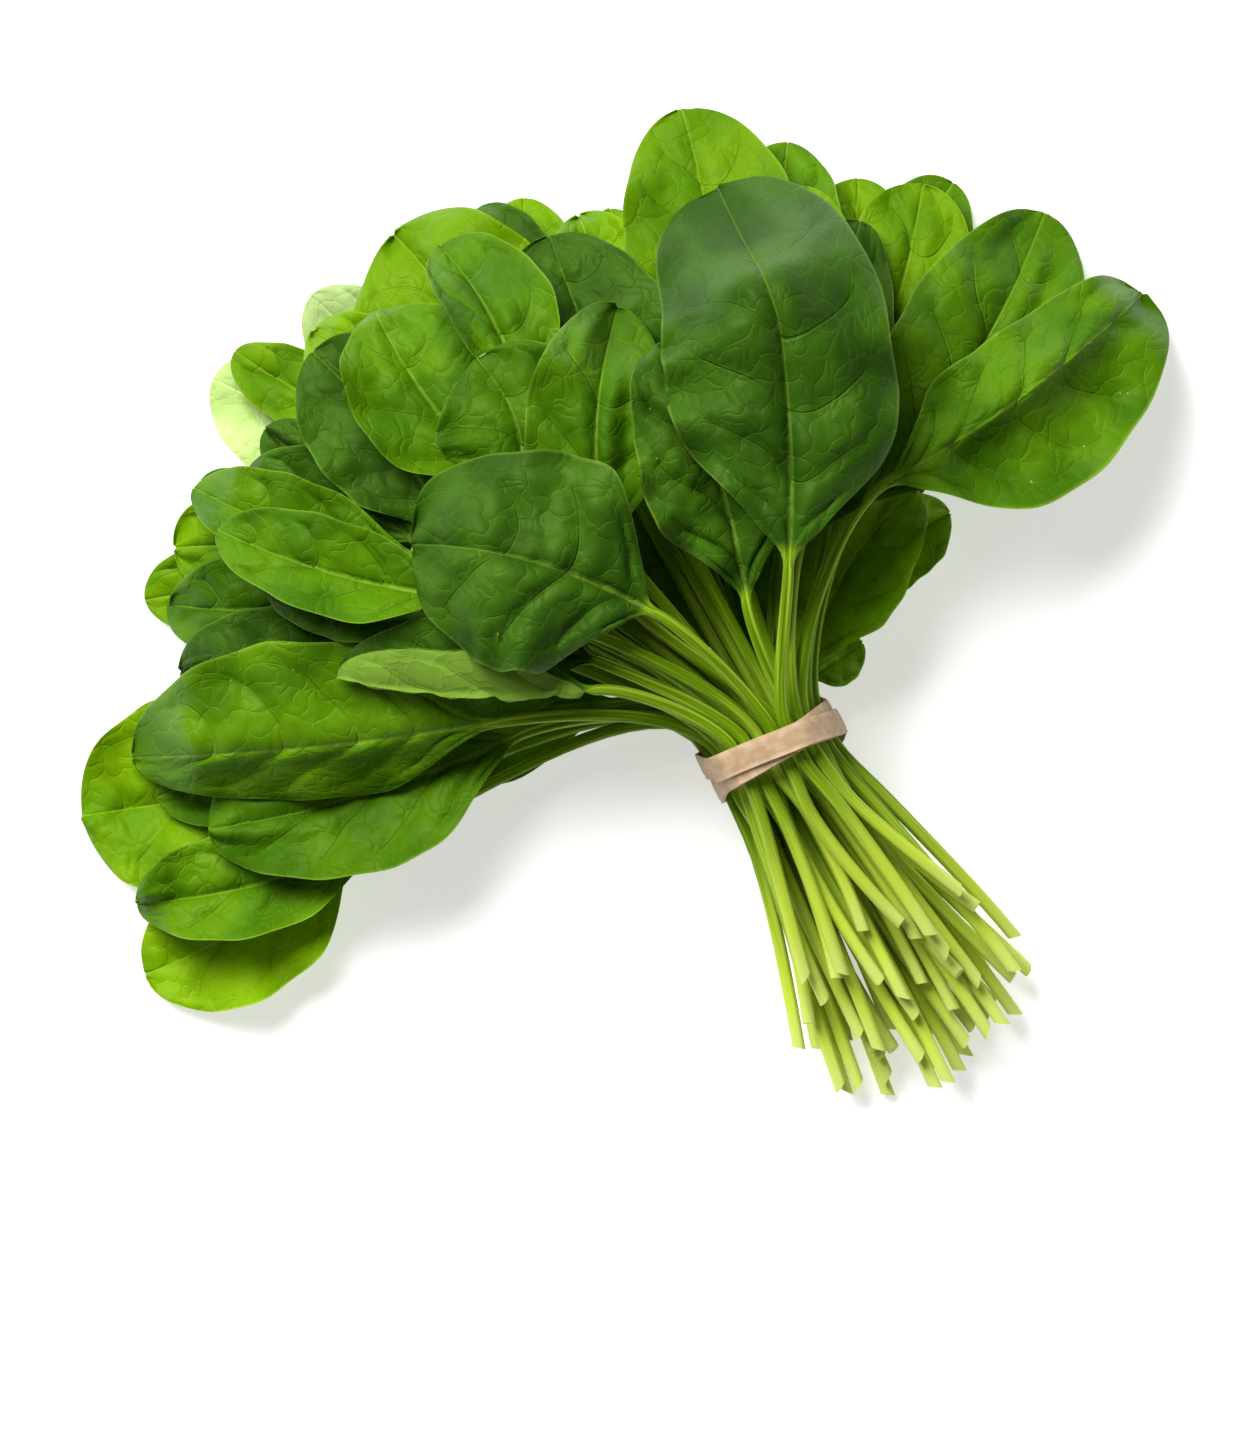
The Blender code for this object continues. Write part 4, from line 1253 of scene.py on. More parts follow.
class LaidLeaf:
    """One leaf at full fineness, laid where its coarse twin came to rest.

    Lifts are evened from HELD millimetres off the neck, and fully so beyond FREE.
    """

    HELD, FREE = 9.0, 30.0
    EVENING = 5

    def __init__(
        self, plan: LeafPlan, index: int, slot: Pair, heap: Heap, fineness: Fineness
    ) -> None:
        """Lay the coarse leaf and carry its lifts over to the fine one.

        Args:
            plan: the leaf.
            index: its place in the order of laying.
            slot: its sideways place and height in the neck.
            heap: what it is laid on.
            fineness: how finely it is cut.
        """
        self.relief = LeafRelief(plan, index)
        coarse = LeafForm(plan, index, slot, Fineness.LAYING)
        lifts = heap.lay(coarse, self.relief)
        self.form = LeafForm(plan, index, slot, fineness)
        middles = self.form.middles(self.relief, fine=True)
        fine_lifts = self.carried(lifts, coarse)
        middles[:, :, 2] += fine_lifts
        self.form.spine[:, 2] += fine_lifts[:, self.form.across // 2]
        self.rings = self.form.skin(middles, fine=True)

    def carried(self, lifts: np.ndarray, coarse: LeafForm) -> np.ndarray:
        """The coarse leaf's lifts at the fine leaf's stations and columns.

        Args:
            lifts: the coarse leaf's lifts.
            coarse: the coarse leaf.

        Returns:
            The lift of each fine station and column.
        """
        along = spline_through(lifts, coarse.sigma, self.form.sigma)
        across = spline_through(along.T, coarse.columns(), self.form.columns()).T
        return self.evened(across)

    def evened(self, lifts: np.ndarray) -> np.ndarray:
        """Lifts with their kinks worn down, except near the tied neck.

        Args:
            lifts: the lift of each station and column.

        Returns:
            The evened lifts.
        """
        form = self.form
        from_neck = np.abs(form.along - form.along[form.tail])
        share = smooth_step(self.HELD, self.FREE, from_neck)[:, None]
        return lifts * (1.0 - share) + averaged(lifts, self.EVENING) * share


# The leaf as a mesh -------------------------------------------------------------------------


class LeafMesh:
    """Points, faces and surface coordinates of one leaf.

    The cut face is CUT_DISH millimetres hollow, and the stalk's colour ends at STALK_END of the
    blade. A leaf's mood, its lightness, strays at random by MOOD_STRAY and follows its shade, the
    painted light and painted shade of its plan, by MOOD_SHADE.
    """

    CUT_DISH = 0.35
    STALK_END = 0.09
    SHARP_DEGREES = 60
    MOOD_STRAY, MOOD_SHADE = 0.22, 0.28

    def __init__(self, leaf: LaidLeaf, shift: np.ndarray) -> None:
        """Gather the leaf's surface.

        Args:
            leaf: the leaf, laid.
            shift: from the plans' frame to the row's, in millimetres.
        """
        self.leaf, self.form = leaf, leaf.form
        stations, count = leaf.rings.shape[:2]
        cut = leaf.rings[0].mean(axis=0) + self.form.frames()[0][0] * self.CUT_DISH
        self.points = np.vstack((leaf.rings.reshape(-1, 3), cut)) + shift
        self.faces = self.sides(stations, count) + self.tip(stations, count)
        self.side_faces = len(self.faces)
        last = stations * count
        self.faces += [(k, last, (k + 1) % count) for k in range(count)]

    @staticmethod
    def sides(stations: int, count: int) -> list[tuple[int, ...]]:
        """Quads from each ring to the next.

        Args:
            stations: how many rings.
            count: how many points in a ring.

        Returns:
            The corners of each face.
        """
        low = np.arange(stations - 1)[:, None] * count + np.arange(count)[None]
        following = np.arange(stations - 1)[:, None] * count + (np.arange(count)[None] + 1) % count
        quads = np.stack((low, following, following + count, low + count), axis=-1)
        return [tuple(row) for row in quads.reshape(-1, 4).tolist()]

    def tip(self, stations: int, count: int) -> list[tuple[int, ...]]:
        """Narrow faces that close the last ring, from its upper points to the ones below them.

        Args:
            stations: how many rings.
            count: how many points in a ring.

        Returns:
            The corners of each face.
        """
        start, across = (stations - 1) * count, self.form.across
        low = [0, *(count - k for k in range(1, across - 1)), across - 1]
        rows = [tuple(dict.fromkeys((k, k + 1, low[k + 1], low[k]))) for k in range(across - 1)]
        return [tuple(start + k for k in row) for row in rows]

    def coordinates(self) -> dict[str, np.ndarray]:
        """Surface coordinates of each point, by the name of their layer.

        Returns:
            Rows of two coordinates, one for each point.
        """
        form, relief = self.form, self.leaf.relief
        columns = form.ring_columns()
        v = form.columns()[columns][None] + 0.0 * form.u[:, None]
        u = form.u[:, None] + 0.0 * v
        lateral = v * form.widths()[:, None]
        along = form.along[:, None] + 0.0 * v
        under = np.zeros(v.shape)
        under[:, form.across :] = 1.0
        under[:, (0, form.across - 1)] = 0.5
        on_stalk = 1.0 - smooth_step(0.0, self.STALK_END, u)
        on_stalk[: form.first_blade] = 1.0
        from_cut = along - form.along[0]
        phase = relief.vein_phase(u, v)
        layers = {
            "place": (lateral / ACROSS_SPAN + 0.5, along / ALONG_SPAN + 0.5),
            "vein": (phase / VEIN_SPAN, np.abs(v)),
            "zone": (under, 0.5 * on_stalk),
            "reach": (u, np.clip(from_cut / ACROSS_SPAN, 0.0, 1.0)),
            # mood carries the leaf's lightness, painted light and painted shade included.
            "mood": (self.mood() + 0.0 * u, 0.0 * u),
        }
        return {name: np.stack(pair, axis=-1).reshape(-1, 2) for name, pair in layers.items()}

    def mood(self) -> float:
        """How light this leaf is painted among those of its tone, from 0 to 1: partly at random,
        partly painted light and painted shade.

        Returns:
            The lightness.
        """
        own = 0.5 + self.MOOD_STRAY * jitter(self.form.index, 11)
        # The plan's shade adds painted light or painted shade to the leaf's lightness.
        own += self.MOOD_SHADE * self.form.plan.shade
        return min(1.0, max(0.0, own))

    def build(self, material: bpy.types.Material) -> bpy.types.Object:
        """Make the object.

        Args:
            material: the leaf's finish.

        Returns:
            The new object, in the scene.
        """
        mesh = bpy.data.meshes.new(f"{self.form.plan.name}_look")
        mesh.from_pydata((self.points * MM).tolist(), [], self.faces)
        starts = np.array([len(face) for face in self.faces])
        corners = np.concatenate([np.array(face) for face in self.faces])
        on_cut = np.repeat(np.arange(len(self.faces)) >= self.side_faces, starts)
        for name, values in self.coordinates().items():
            padded = np.vstack((values, values[:1]))
            loops = padded[corners]
            if name == "zone":
                loops[on_cut] = (0.0, 1.0)
            mesh.uv_layers.new(name=name).data.foreach_set("uv", loops.ravel())
        mesh.materials.append(material)
        mesh.shade_smooth()
        mesh.set_sharp_from_angle(angle=math.radians(self.SHARP_DEGREES))
        return placed(mesh)


def placed(mesh: bpy.types.Mesh) -> bpy.types.Object:
    """An object of a mesh, linked to the scene.

    Args:
        mesh: the mesh.

    Returns:
        The new object.
    """
    made = bpy.data.objects.new(mesh.name, mesh)
    bpy.context.scene.collection.objects.link(made)
    return made


# The rubber band ----------------------------------------------------------------------------


@dataclass(frozen=True)
class RubberBand:
    """A flat band wound twice round the neck. Its turns cross at the front.

    front and back are half the distance between the turns there. At upper[0] of the half loop from
    the crossing, the upper turn starts to come down, and it is down at upper[1]. edge rounds the
    strip's corners, near is how far along the neck a stalk counts, and wave is its unevenness.
    """

    name: str = "rubber_band"
    width: float = 6.8
    thick: float = 0.85
    edge: float = 0.26
    clearance: float = 0.35
    front: float = 1.5
    back: float = 3.75
    crossing: float = 0.36
    apart: float = 0.62
    upper: Pair = (0.55, 0.8)
    turn_gap: float = 0.12
    wave: float = 0.05
    near: float = 9.0
    steps: int = 176
    bridgings: int = 6
    smoothings: int = 3

    def circles(self, forms: Sequence[LeafForm]) -> np.ndarray:
        """Each stalk near the band as sideways place, height and radius.

        Args:
            forms: all leaves, laid.

        Returns:
            A row for each station near the band.
        """
        axis, side = NECK.directions()
        rows = []
        for form in forms:
            offset = form.spine[:, :2] - np.array(NECK.centre)
            near = np.abs(offset @ axis) < self.near
            rows.append(np.column_stack((offset @ side, form.spine[:, 2], form.radius))[near])
        return np.vstack(rows)

    def outline(self, forms: Sequence[LeafForm]) -> tuple[np.ndarray, np.ndarray]:
        """The loop round the stalks, from its lowest point, and the outward way at each point.

        Args:
            forms: all leaves, laid.

        Returns:
            Points across the neck as sideways place and height, and unit vectors.
        """
        circles = self.circles(forms)
        angle = -math.pi / 2 + 2 * math.pi * np.arange(self.steps) / self.steps
        normals = np.column_stack((np.cos(angle), np.sin(angle)))
        reach = (circles[:, :2] @ normals.T + circles[:, 2:]).max(axis=0) + self.clearance
        for _ in range(self.bridgings):
            reach = np.maximum(reach, (np.roll(reach, 1) + reach + np.roll(reach, -1)) / 3)
        slope = (np.roll(reach, -1) - np.roll(reach, 1)) * self.steps / (4 * math.pi)
        tangents = np.column_stack((-normals[:, 1], normals[:, 0]))
        return self.evenly(normals * reach[:, None] + tangents * slope[:, None])

    def evenly(self, loop: np.ndarray) -> tuple[np.ndarray, np.ndarray]:
        """The loop again with points at even distances, smoothed, and its outward ways.

        Args:
            loop: points round the stalks.

        Returns:
            Points across the neck, and unit vectors.
        """
        closed = np.vstack((loop, loop[:1]))
        along = np.concatenate(([0.0], np.cumsum(np.linalg.norm(np.diff(closed, axis=0), axis=1))))
        want = np.linspace(0.0, along[-1], self.steps + 1)[:-1]
        points = np.column_stack([np.interp(want, along, closed[:, k]) for k in (0, 1)])
        for _ in range(self.smoothings):
            points = (np.roll(points, 1, axis=0) + 2 * points + np.roll(points, -1, axis=0)) / 4
        ways = np.roll(points, -1, axis=0) - np.roll(points, 1, axis=0)
        ways /= np.linalg.norm(ways, axis=1)[:, None]
        return points, np.column_stack((ways[:, 1], -ways[:, 0]))

    def path(self, share: float) -> Pair:
        """At a share of one turn: half the strands' spacing, and how far the upper one rises.

        Args:
            share: how far round from the lowest point, from 0 to 1.

        Returns:
            Both in millimetres. The first is negative before the top.
        """
        from_top = abs(share - 0.5) * 2.0
        spacing = self.front * math.sin(0.5 * math.pi * min(1.0, from_top / self.crossing))
        parted = float(smooth_step(self.crossing, self.apart, from_top))
        spacing += (self.back - self.front) * parted
        rise = (self.thick + self.turn_gap) * (1.0 - float(smooth_step(*self.upper, from_top)))
        return math.copysign(spacing, share - 0.5), rise

    def section(self) -> np.ndarray:
        """Corners of the strip, as depth from its inner face and place along the neck.

        Returns:
            A row for each corner.
        """
        half, arc = self.width / 2 - self.edge, np.linspace(0.0, math.pi / 2, 4)
        rows = []
        for turn, (t, e) in enumerate(((0, -1), (1, -1), (1, 1), (0, 1))):
            centre_t = self.edge if t == 0 else self.thick - self.edge
            start = -math.pi + turn * -math.pi / 2
            rows += [
                (centre_t + self.edge * math.sin(a), e * half + self.edge * math.cos(a))
                for a in start - arc
            ]
            if t == 1 and e == -1:
                rows += [(self.thick, w * half) for w in (-0.6, -0.2, 0.2, 0.6)]
        return np.array(rows)

    def rings(self, forms: Sequence[LeafForm]) -> np.ndarray:
        """Sections of the strip along its two turns.

        Args:
            forms: all leaves, laid.

        Returns:
            A ring of points for each step.
        """
        axis, side = NECK.directions()
        points, outward = self.outline(forms)
        section = self.section()
        rings = []
        for turn in (0, 1):
            for k in range(self.steps):
                spacing, rise = self.path((k + 0.5) / self.steps)
                along = (spacing if turn else -spacing) + section[:, 1]
                wave = self.wave * math.sin(0.31 * k + 2.0 * turn)
                depth = section[:, 0] + (rise if turn else 0.0) + wave
                spot = points[k] + depth[:, None] * outward[k]
                plan = np.array(NECK.centre) + spot[:, :1] * side + along[:, None] * axis
                rings.append(np.column_stack((plan, spot[:, 1])))
        return np.array(rings)

    def build(
        self, rings: np.ndarray, shift: np.ndarray, material: bpy.types.Material
    ) -> bpy.types.Object:
        """Make the band's object.

        Args:
            rings: its sections.
            shift: from the plans' frame to the row's.
            material: its finish.

        Returns:
            The new object.
        """
        stations, count = rings.shape[:2]
        low = np.arange(stations)[:, None] * count
        high = (np.arange(stations)[:, None] + 1) % stations * count
        place, following = np.arange(count)[None], (np.arange(count)[None] + 1) % count
        quads = np.stack((low + place, low + following, high + following, high + place), axis=-1)
        quads = quads.reshape(-1, 4)
        mesh = bpy.data.meshes.new(f"{self.name}_look")
        mesh.from_pydata(((rings.reshape(-1, 3) + shift) * MM).tolist(), [], quads.tolist())
        section = self.section()
        spread = np.tile(section[:, 1] / self.width + 0.5, stations)
        turn = np.repeat(np.arange(stations) / self.steps / 2, count)
        layer = np.column_stack((spread, turn))[quads.ravel()]
        mesh.uv_layers.new(name="strip").data.foreach_set("uv", layer.ravel())
        mesh.materials.append(material)
        mesh.shade_smooth()
        return placed(mesh)


# Finishes -----------------------------------------------------------------------------------


def linear(colour: Colour) -> tuple[float, float, float, float]:
    """A screen colour of 0 to 255 as the light it stands for."""
    parts = [c / 255.0 for c in colour]
    return (*((c / 12.92 if c <= 0.04045 else ((c + 0.055) / 1.055) ** 2.4) for c in parts), 1.0)


class Sketch:
    """A node tree that is written down as sums: most calls add a node and return its output."""

    RAMP_INPUTS = ("Value", "From Min", "From Max", "To Min", "To Max")

    def __init__(self, tree: bpy.types.NodeTree) -> None:
        """Draw in a tree."""
        self.tree = tree

    def node(self, kind: str, entries: dict, **settings: object) -> bpy.types.Node:
        """Add a node.

        Args:
            kind: its type.
            entries: what goes into its inputs, by their name or place: outputs or plain values.
            settings: its properties.

        Returns:
            The new node.
        """
        made = self.tree.nodes.new(kind)
        for name, value in settings.items():
            setattr(made, name, value)
        for label, entry in entries.items():
            self.feed(made.inputs[label], entry)
        return made

    def feed(self, socket: bpy.types.NodeSocket, entry: object) -> None:
        """Link an output into a socket, or set the socket's own value.

        Args:
            socket: the socket.
            entry: an output, or a plain value.
        """
        if isinstance(entry, bpy.types.NodeSocket):
            self.tree.links.new(entry, socket)
        else:
            socket.default_value = entry

    def math(self, operation: str, *values: object) -> bpy.types.NodeSocket:
        """A sum of up to three values."""
        return self.node("ShaderNodeMath", dict(enumerate(values)), operation=operation).outputs[0]

    def ramp(
        self, value: object, low: float, high: float, to_low: float = 0.0, to_high: float = 1.0
    ) -> bpy.types.NodeSocket:
        """A smooth step of a value from to_low at low to to_high at high."""
        entries = dict(zip(self.RAMP_INPUTS, (value, low, high, to_low, to_high)))
        return self.node("ShaderNodeMapRange", entries, interpolation_type="SMOOTHSTEP").outputs[0]

    def mix(self, share: object, first: object, second: object) -> bpy.types.NodeSocket:
        """A colour between two colours. The node's colours stand at its places 6, 7 and 2."""
        entries = {0: share, 6: first, 7: second}
        return self.node("ShaderNodeMix", entries, data_type="RGBA", clamp_factor=True).outputs[2]

    def shifted(self, colour: object, **changes: object) -> bpy.types.NodeSocket:
        """A colour with its Hue (0.5 keeps it), Saturation or Value (1 keeps them) changed."""
        return self.node("ShaderNodeHueSaturation", {**changes, "Color": colour}).outputs[0]

    def layer(self, name: str) -> list[bpy.types.NodeSocket]:
        """Both coordinates of a surface layer."""
        where = self.node("ShaderNodeUVMap", {}, uv_map=name).outputs[0]
        return self.node("ShaderNodeSeparateXYZ", {0: where}).outputs[:2]

    def vector(self, x: object, y: object) -> bpy.types.NodeSocket:
        """A level vector of two values."""
        return self.node("ShaderNodeCombineXYZ", {0: x, 1: y}).outputs[0]

    def stretched(self, x: object, by_x: float, y: object, by_y: float) -> bpy.types.NodeSocket:
        """A vector of two values, each times a number."""
        return self.vector(self.math("MULTIPLY", x, by_x), self.math("MULTIPLY", y, by_y))

    def noise(
        self, where: object, scale: float, detail: float = 2.0, rough: float = 0.5
    ) -> bpy.types.NodeSocket:
        """Cloudy noise of 0 to 1."""
        entries = {"Vector": where, "Scale": scale, "Detail": detail, "Roughness": rough}
        return self.node("ShaderNodeTexNoise", entries, noise_dimensions="2D").outputs["Fac"]

    def net(self, where: object, cell: float) -> bpy.types.NodeSocket:
        """Distance from the rims of cells.

        Args:
            where: the place, in millimetres.
            cell: the usual width of a cell, in millimetres.

        Returns:
            0 on a rim, and about 0.5 in the middle of a cell.
        """
        kind, entries = "ShaderNodeTexVoronoi", {"Vector": where, "Scale": 1.0 / cell}
        made = self.node(kind, entries, feature="DISTANCE_TO_EDGE", voronoi_dimensions="2D")
        return made.outputs["Distance"]

    def bump(self, height: object) -> bpy.types.NodeSocket:
        """The normal that a small relief gives, from its height in millimetres."""
        return self.node("ShaderNodeBump", {"Distance": MM, "Height": height}).outputs[0]


class VeinGroup:
    """Where a leaf's veins run, as masks, and the small relief that they make.

    Lengths and depths are millimetres. The net's CELL is pushed about by PUSH, and each leaf's
    pattern lies OWN_PATTERN from another's for each step of its mood.
    """

    # Scale, detail and roughness of each noise.
    NOISES = {"Cloud": (0.05, 1.0), "Speckle": (0.9, 1.0, 0.6), "Grain": (1.7, 0.0)}
    OUTPUTS = ("Midrib", "Side Veins", "Net", "Height", *NOISES)
    SIDE_SPACING = 13.0
    OWN_PATTERN = 1711.0
    CELL = 6.0
    PUSH, PUSH_SCALE = 6.0, 0.21
    PILLOW, PILLOW_EDGE, VEIN_DEPTH = 0.15, 0.10, 0.26
    MIDRIB_TAPER, SIDE_TAPER = 0.75, 0.6

    # Smooth steps: where each starts and ends, and what it gives there when that isn't 0 and 1.
    FADE_IN, FADE_OUT = (0.02, 0.1), (0.80, 0.95, 1.0, 0.0)
    NET_LINE = (0.01, 0.11, 0.8, 0.0)
    PILLOW_STEP, PILLOW_EDGE_STEP = (0.0, 0.42), (0.0, 0.07)
    MIDRIB_LINE, SIDE_LINE = (0.45, 1.15, 1.0, 0.0), (0.05, 0.48, 1.0, 0.0)
    ARCH_LINE, INSIDE_ARCH = (0.002, 0.018, 0.3, 0.0), (0.0, 0.10, 1.0, 0.0)

    def build(self) -> bpy.types.NodeTree:
        """Make the node group.

        Returns:
            The group.
        """
        group = bpy.data.node_groups.new("leaf_veins", "ShaderNodeTree")
        for label in self.OUTPUTS:
            group.interface.new_socket(name=label, in_out="OUTPUT", socket_type="NodeSocketFloat")
        ink = Sketch(group)
        across, along = ink.layer("place")
        phase, v = ink.layer("vein")
        u, _ = ink.layer("reach")
        mood, _ = ink.layer("mood")
        x = ink.math("MULTIPLY_ADD", across, ACROSS_SPAN, -ACROSS_SPAN / 2)
        y = ink.math("MULTIPLY_ADD", along, ALONG_SPAN, -ALONG_SPAN / 2)
        own = ink.math("MULTIPLY_ADD", mood, self.OWN_PATTERN, x)
        flat = ink.vector(own, y)
        pushes = [ink.noise(where, self.PUSH_SCALE, 0.0) for where in (flat, ink.vector(y, own))]
        bent = [ink.math("MULTIPLY_ADD", push, self.PUSH, at) for push, at in zip(pushes, (own, y))]
        from_rim = ink.net(ink.vector(*bent), self.CELL)
        fade = ink.ramp(u, *self.FADE_IN)
        before_tip = ink.ramp(u, *self.FADE_OUT)
        sides, arches = self.side_veins(ink, phase, v)
        net = ink.ramp(from_rim, *self.NET_LINE)
        pillow = ink.math("MULTIPLY", ink.ramp(from_rim, *self.PILLOW_STEP), self.PILLOW)
        rim = ink.ramp(from_rim, *self.PILLOW_EDGE_STEP)
        pillow = ink.math("MULTIPLY_ADD", rim, self.PILLOW_EDGE, pillow)
        ribs = ink.math("MULTIPLY", ink.math("MAXIMUM", sides, arches), before_tip)
        pillow = ink.math("MULTIPLY_ADD", ribs, -self.VEIN_DEPTH, pillow)
        values = [self.midrib(ink, x, u)]
        values += [ink.math("MULTIPLY", mask, fade) for mask in (ribs, net, pillow)]
        values += [ink.noise(flat, *settings) for settings in self.NOISES.values()]
        ink.node("NodeGroupOutput", dict(zip(self.OUTPUTS, values)))
        return group

    def midrib(self, ink: Sketch, x: object, u: object) -> bpy.types.NodeSocket:
        """1 on the midrib, narrowing towards the tip.

        Args:
            ink: the sketch of the tree.
            x: how far from the midrib.
            u: how far from the blade's base to its tip, from 0 to 1.

        Returns:
            The mask.
        """
        wide = ink.math("MULTIPLY_ADD", u, -self.MIDRIB_TAPER, 1.0)
        share = ink.math("DIVIDE", ink.math("ABSOLUTE", x), wide)
        return ink.ramp(share, *self.MIDRIB_LINE)

    def side_veins(self, ink: Sketch, phase: object, v: object) -> tuple[object, object]:
        """1 on the side veins, and 1 on the arches that join them near the margin.

        Args:
            ink: the sketch of the tree.
            phase: the count of veins.
            v: how near the margin, from 0 to 1.

        Returns:
            Both masks.
        """
        turns = ink.math("FRACT", ink.math("MULTIPLY", phase, VEIN_SPAN))
        from_vein = ink.math("ABSOLUTE", ink.math("SUBTRACT", turns, 0.5))
        away = ink.math("MULTIPLY", from_vein, self.SIDE_SPACING)
        share = ink.math("DIVIDE", away, ink.math("MULTIPLY_ADD", v, -self.SIDE_TAPER, 1.0))
        rest = ink.math("MULTIPLY_ADD", from_vein, -2.0, 1.0)
        square = ink.math("MULTIPLY", rest, rest)
        bulge = ink.math("SQRT", ink.math("MULTIPLY_ADD", square, -1.0, 1.0))
        outside = ink.math("SUBTRACT", v, ink.math("MULTIPLY_ADD", bulge, ARCH_BULGE, ARCH_FOOT))
        inner = ink.ramp(outside, *self.INSIDE_ARCH)
        side = ink.math("MULTIPLY", ink.ramp(share, *self.SIDE_LINE), inner)
        return side, ink.ramp(ink.math("ABSOLUTE", outside), *self.ARCH_LINE)


# Where the "zone" layer passes from blade to stalk, from side to cut face, and from top to
# underside.
ON_STALK, ON_CUT, BELOW = (0.05, 0.42), (0.55, 0.9), (0.55, 0.8)


@dataclass(frozen=True)
class LeafFinish:
    """The greens of one tone, as screen colours of 0 to 255, and its gloss."""

    tone: Tone
    upper: Colour
    deep: Colour
    vein: Colour
    under: Colour
    stalk: Colour = (106, 148, 4)
    cut_end: Colour = (226, 250, 82)
    cut_face: Colour = (230, 242, 140)
    sheen: Colour = (225, 255, 150)
    stalk_glow: Colour = (96, 128, 10)
    rib_contrast: float = 0.55
    net_contrast: float = 0.16
    side_contrast: float = 0.36
    below_contrast: float = 0.35
    roughness: float = 0.52
    cloud_roughness: float = 0.16
    below_roughness: float = 0.12
    gloss: float = 0.22
    let_through: float = 0.20
    through_hue: float = 0.485
    through_saturation: float = 1.15
    through_gain: float = 1.7
    grain: float = 0.034
    below_relief: float = -0.7
    # brightness, hue and warmth follow the leaf's mood, so they carry its painted light and painted
    # shade.
    brightness: Pair = (0.63, 0.60)
    speckle: float = 0.14
    hue: float = 0.502
    warmth: float = -0.012

    # Smooth steps: where each starts and ends, and what it gives there when that isn't 0 and 1.
    CLOUDS = (0.38, 0.66)
    # MARGIN mixes the vein colour into the outer margin: a painted rim highlight.
    MARGIN = (0.955, 1.0, 0.0, 0.4)
    STALK_LINES = (0.4, 0.7, 0.0, 0.4)
    PALING, CUT_PALING = (0.02, 0.30, 0.9, 0.0), (0.0, 0.08, 0.6, 0.0)
    # How often the stalk's lines repeat across and along it.
    LINE_ACROSS, LINE_ALONG = 460.0, 12.0

    def build(self, veins: bpy.types.NodeTree) -> bpy.types.Material:
        """Make the material.

        Args:
            veins: the shared vein group.

        Returns:
            The new material.
        """
        made = bpy.data.materials.new(f"{self.tone.value}_finish")
        made.use_nodes = True
        made.node_tree.nodes.clear()
        ink = Sketch(made.node_tree)
        colour, rough, height = self.surface(ink, ink.node("ShaderNodeGroup", {}, node_tree=veins))
        skin = {
            "Base Color": colour,
            "Roughness": rough,
            "Specular IOR Level": self.gloss,
            "Specular Tint": linear(self.sheen),
            "Normal": ink.bump(height),
        }
        _, part = ink.layer("zone")
        through = ink.shifted(
            colour,
            Hue=self.through_hue,
            Saturation=self.through_saturation,
            Value=self.through_gain,
        )
        through = ink.mix(ink.ramp(part, *ON_STALK), through, linear(self.stalk_glow))
        glow = ink.node("ShaderNodeBsdfTranslucent", {"Color": through}).outputs[0]
        shader = ink.node("ShaderNodeBsdfPrincipled", skin).outputs[0]
        both = ink.node("ShaderNodeMixShader", {0: self.let_through, 1: shader, 2: glow})
        ink.node("ShaderNodeOutputMaterial", {"Surface": both.outputs[0]})
        return made

    def surface(self, ink: Sketch, marks: bpy.types.Node) -> tuple[object, object, object]:
        """Colour, roughness and small relief of blade, stalk and cut face together.

        Args:
            ink: the sketch of the tree.
            marks: the vein group.

        Returns:
            The three outputs.
        """
        under, part = ink.layer("zone")
        _, v = ink.layer("vein")
        mood, _ = ink.layer("mood")
        below = ink.ramp(under, *BELOW)
        blade = self.blade(ink, marks, below, v, mood)
        stalk = self.stalk_colour(ink)
        on_stalk = ink.ramp(part, *ON_STALK)
        on_cut = ink.ramp(part, *ON_CUT)
        colour = ink.mix(on_cut, ink.mix(on_stalk, blade, stalk), linear(self.cut_face))
        flip = ink.math("MULTIPLY_ADD", below, self.below_relief - 1.0, 1.0)
        height = ink.math("MULTIPLY", marks.outputs["Height"], flip)
        height = ink.math("MULTIPLY_ADD", marks.outputs["Grain"], self.grain, height)
        least = self.roughness - self.cloud_roughness / 2
        rough = ink.math("MULTIPLY_ADD", marks.outputs["Cloud"], self.cloud_roughness, least)
        rough = ink.math("MULTIPLY_ADD", below, self.below_roughness, rough)
        return colour, rough, height

    def blade(
        self, ink: Sketch, marks: bpy.types.Node, below: object, v: object, mood: object
    ) -> bpy.types.NodeSocket:
        """The blade's colour: clouded green, lighter veins, a painted rim highlight along the
        margin, and a paler underside.

        Args:
            ink: the material's sketch.
            marks: the vein group.
            below: 1 on the underside.
            v: how near the margin.
            mood: how light this leaf is painted, painted light and painted shade included.

        Returns:
            The colour.
        """
        vein = linear(self.vein)
        cloud = ink.ramp(marks.outputs["Cloud"], *self.CLOUDS)
        top = ink.mix(cloud, linear(self.upper), linear(self.deep))
        net = ink.math("MULTIPLY", marks.outputs["Net"], self.net_contrast * self.rib_contrast)
        top = ink.mix(net, top, vein)
        face = ink.mix(below, top, linear(self.under))
        on_top = self.side_contrast * self.rib_contrast
        line = ink.math("MULTIPLY_ADD", below, self.below_contrast, on_top)
        face = ink.mix(ink.math("MULTIPLY", marks.outputs["Side Veins"], line), face, vein)
        face = ink.mix(ink.math("MULTIPLY", marks.outputs["Midrib"], self.rib_contrast), face, vein)
        # Painted rim highlight: the outer margin is mixed towards the vein colour.
        face = ink.mix(ink.ramp(v, *self.MARGIN), face, vein)
        # The leaf's lightness is painted into its colour here: partly at random, partly painted
        # light and painted shade.
        least, gain = self.brightness
        bright = ink.math("MULTIPLY_ADD", mood, gain, least)
        bright = ink.math("MULTIPLY_ADD", marks.outputs["Speckle"], self.speckle, bright)
        hue = ink.math("MULTIPLY_ADD", mood, self.warmth, self.hue)
        return ink.shifted(face, Hue=hue, Value=bright)

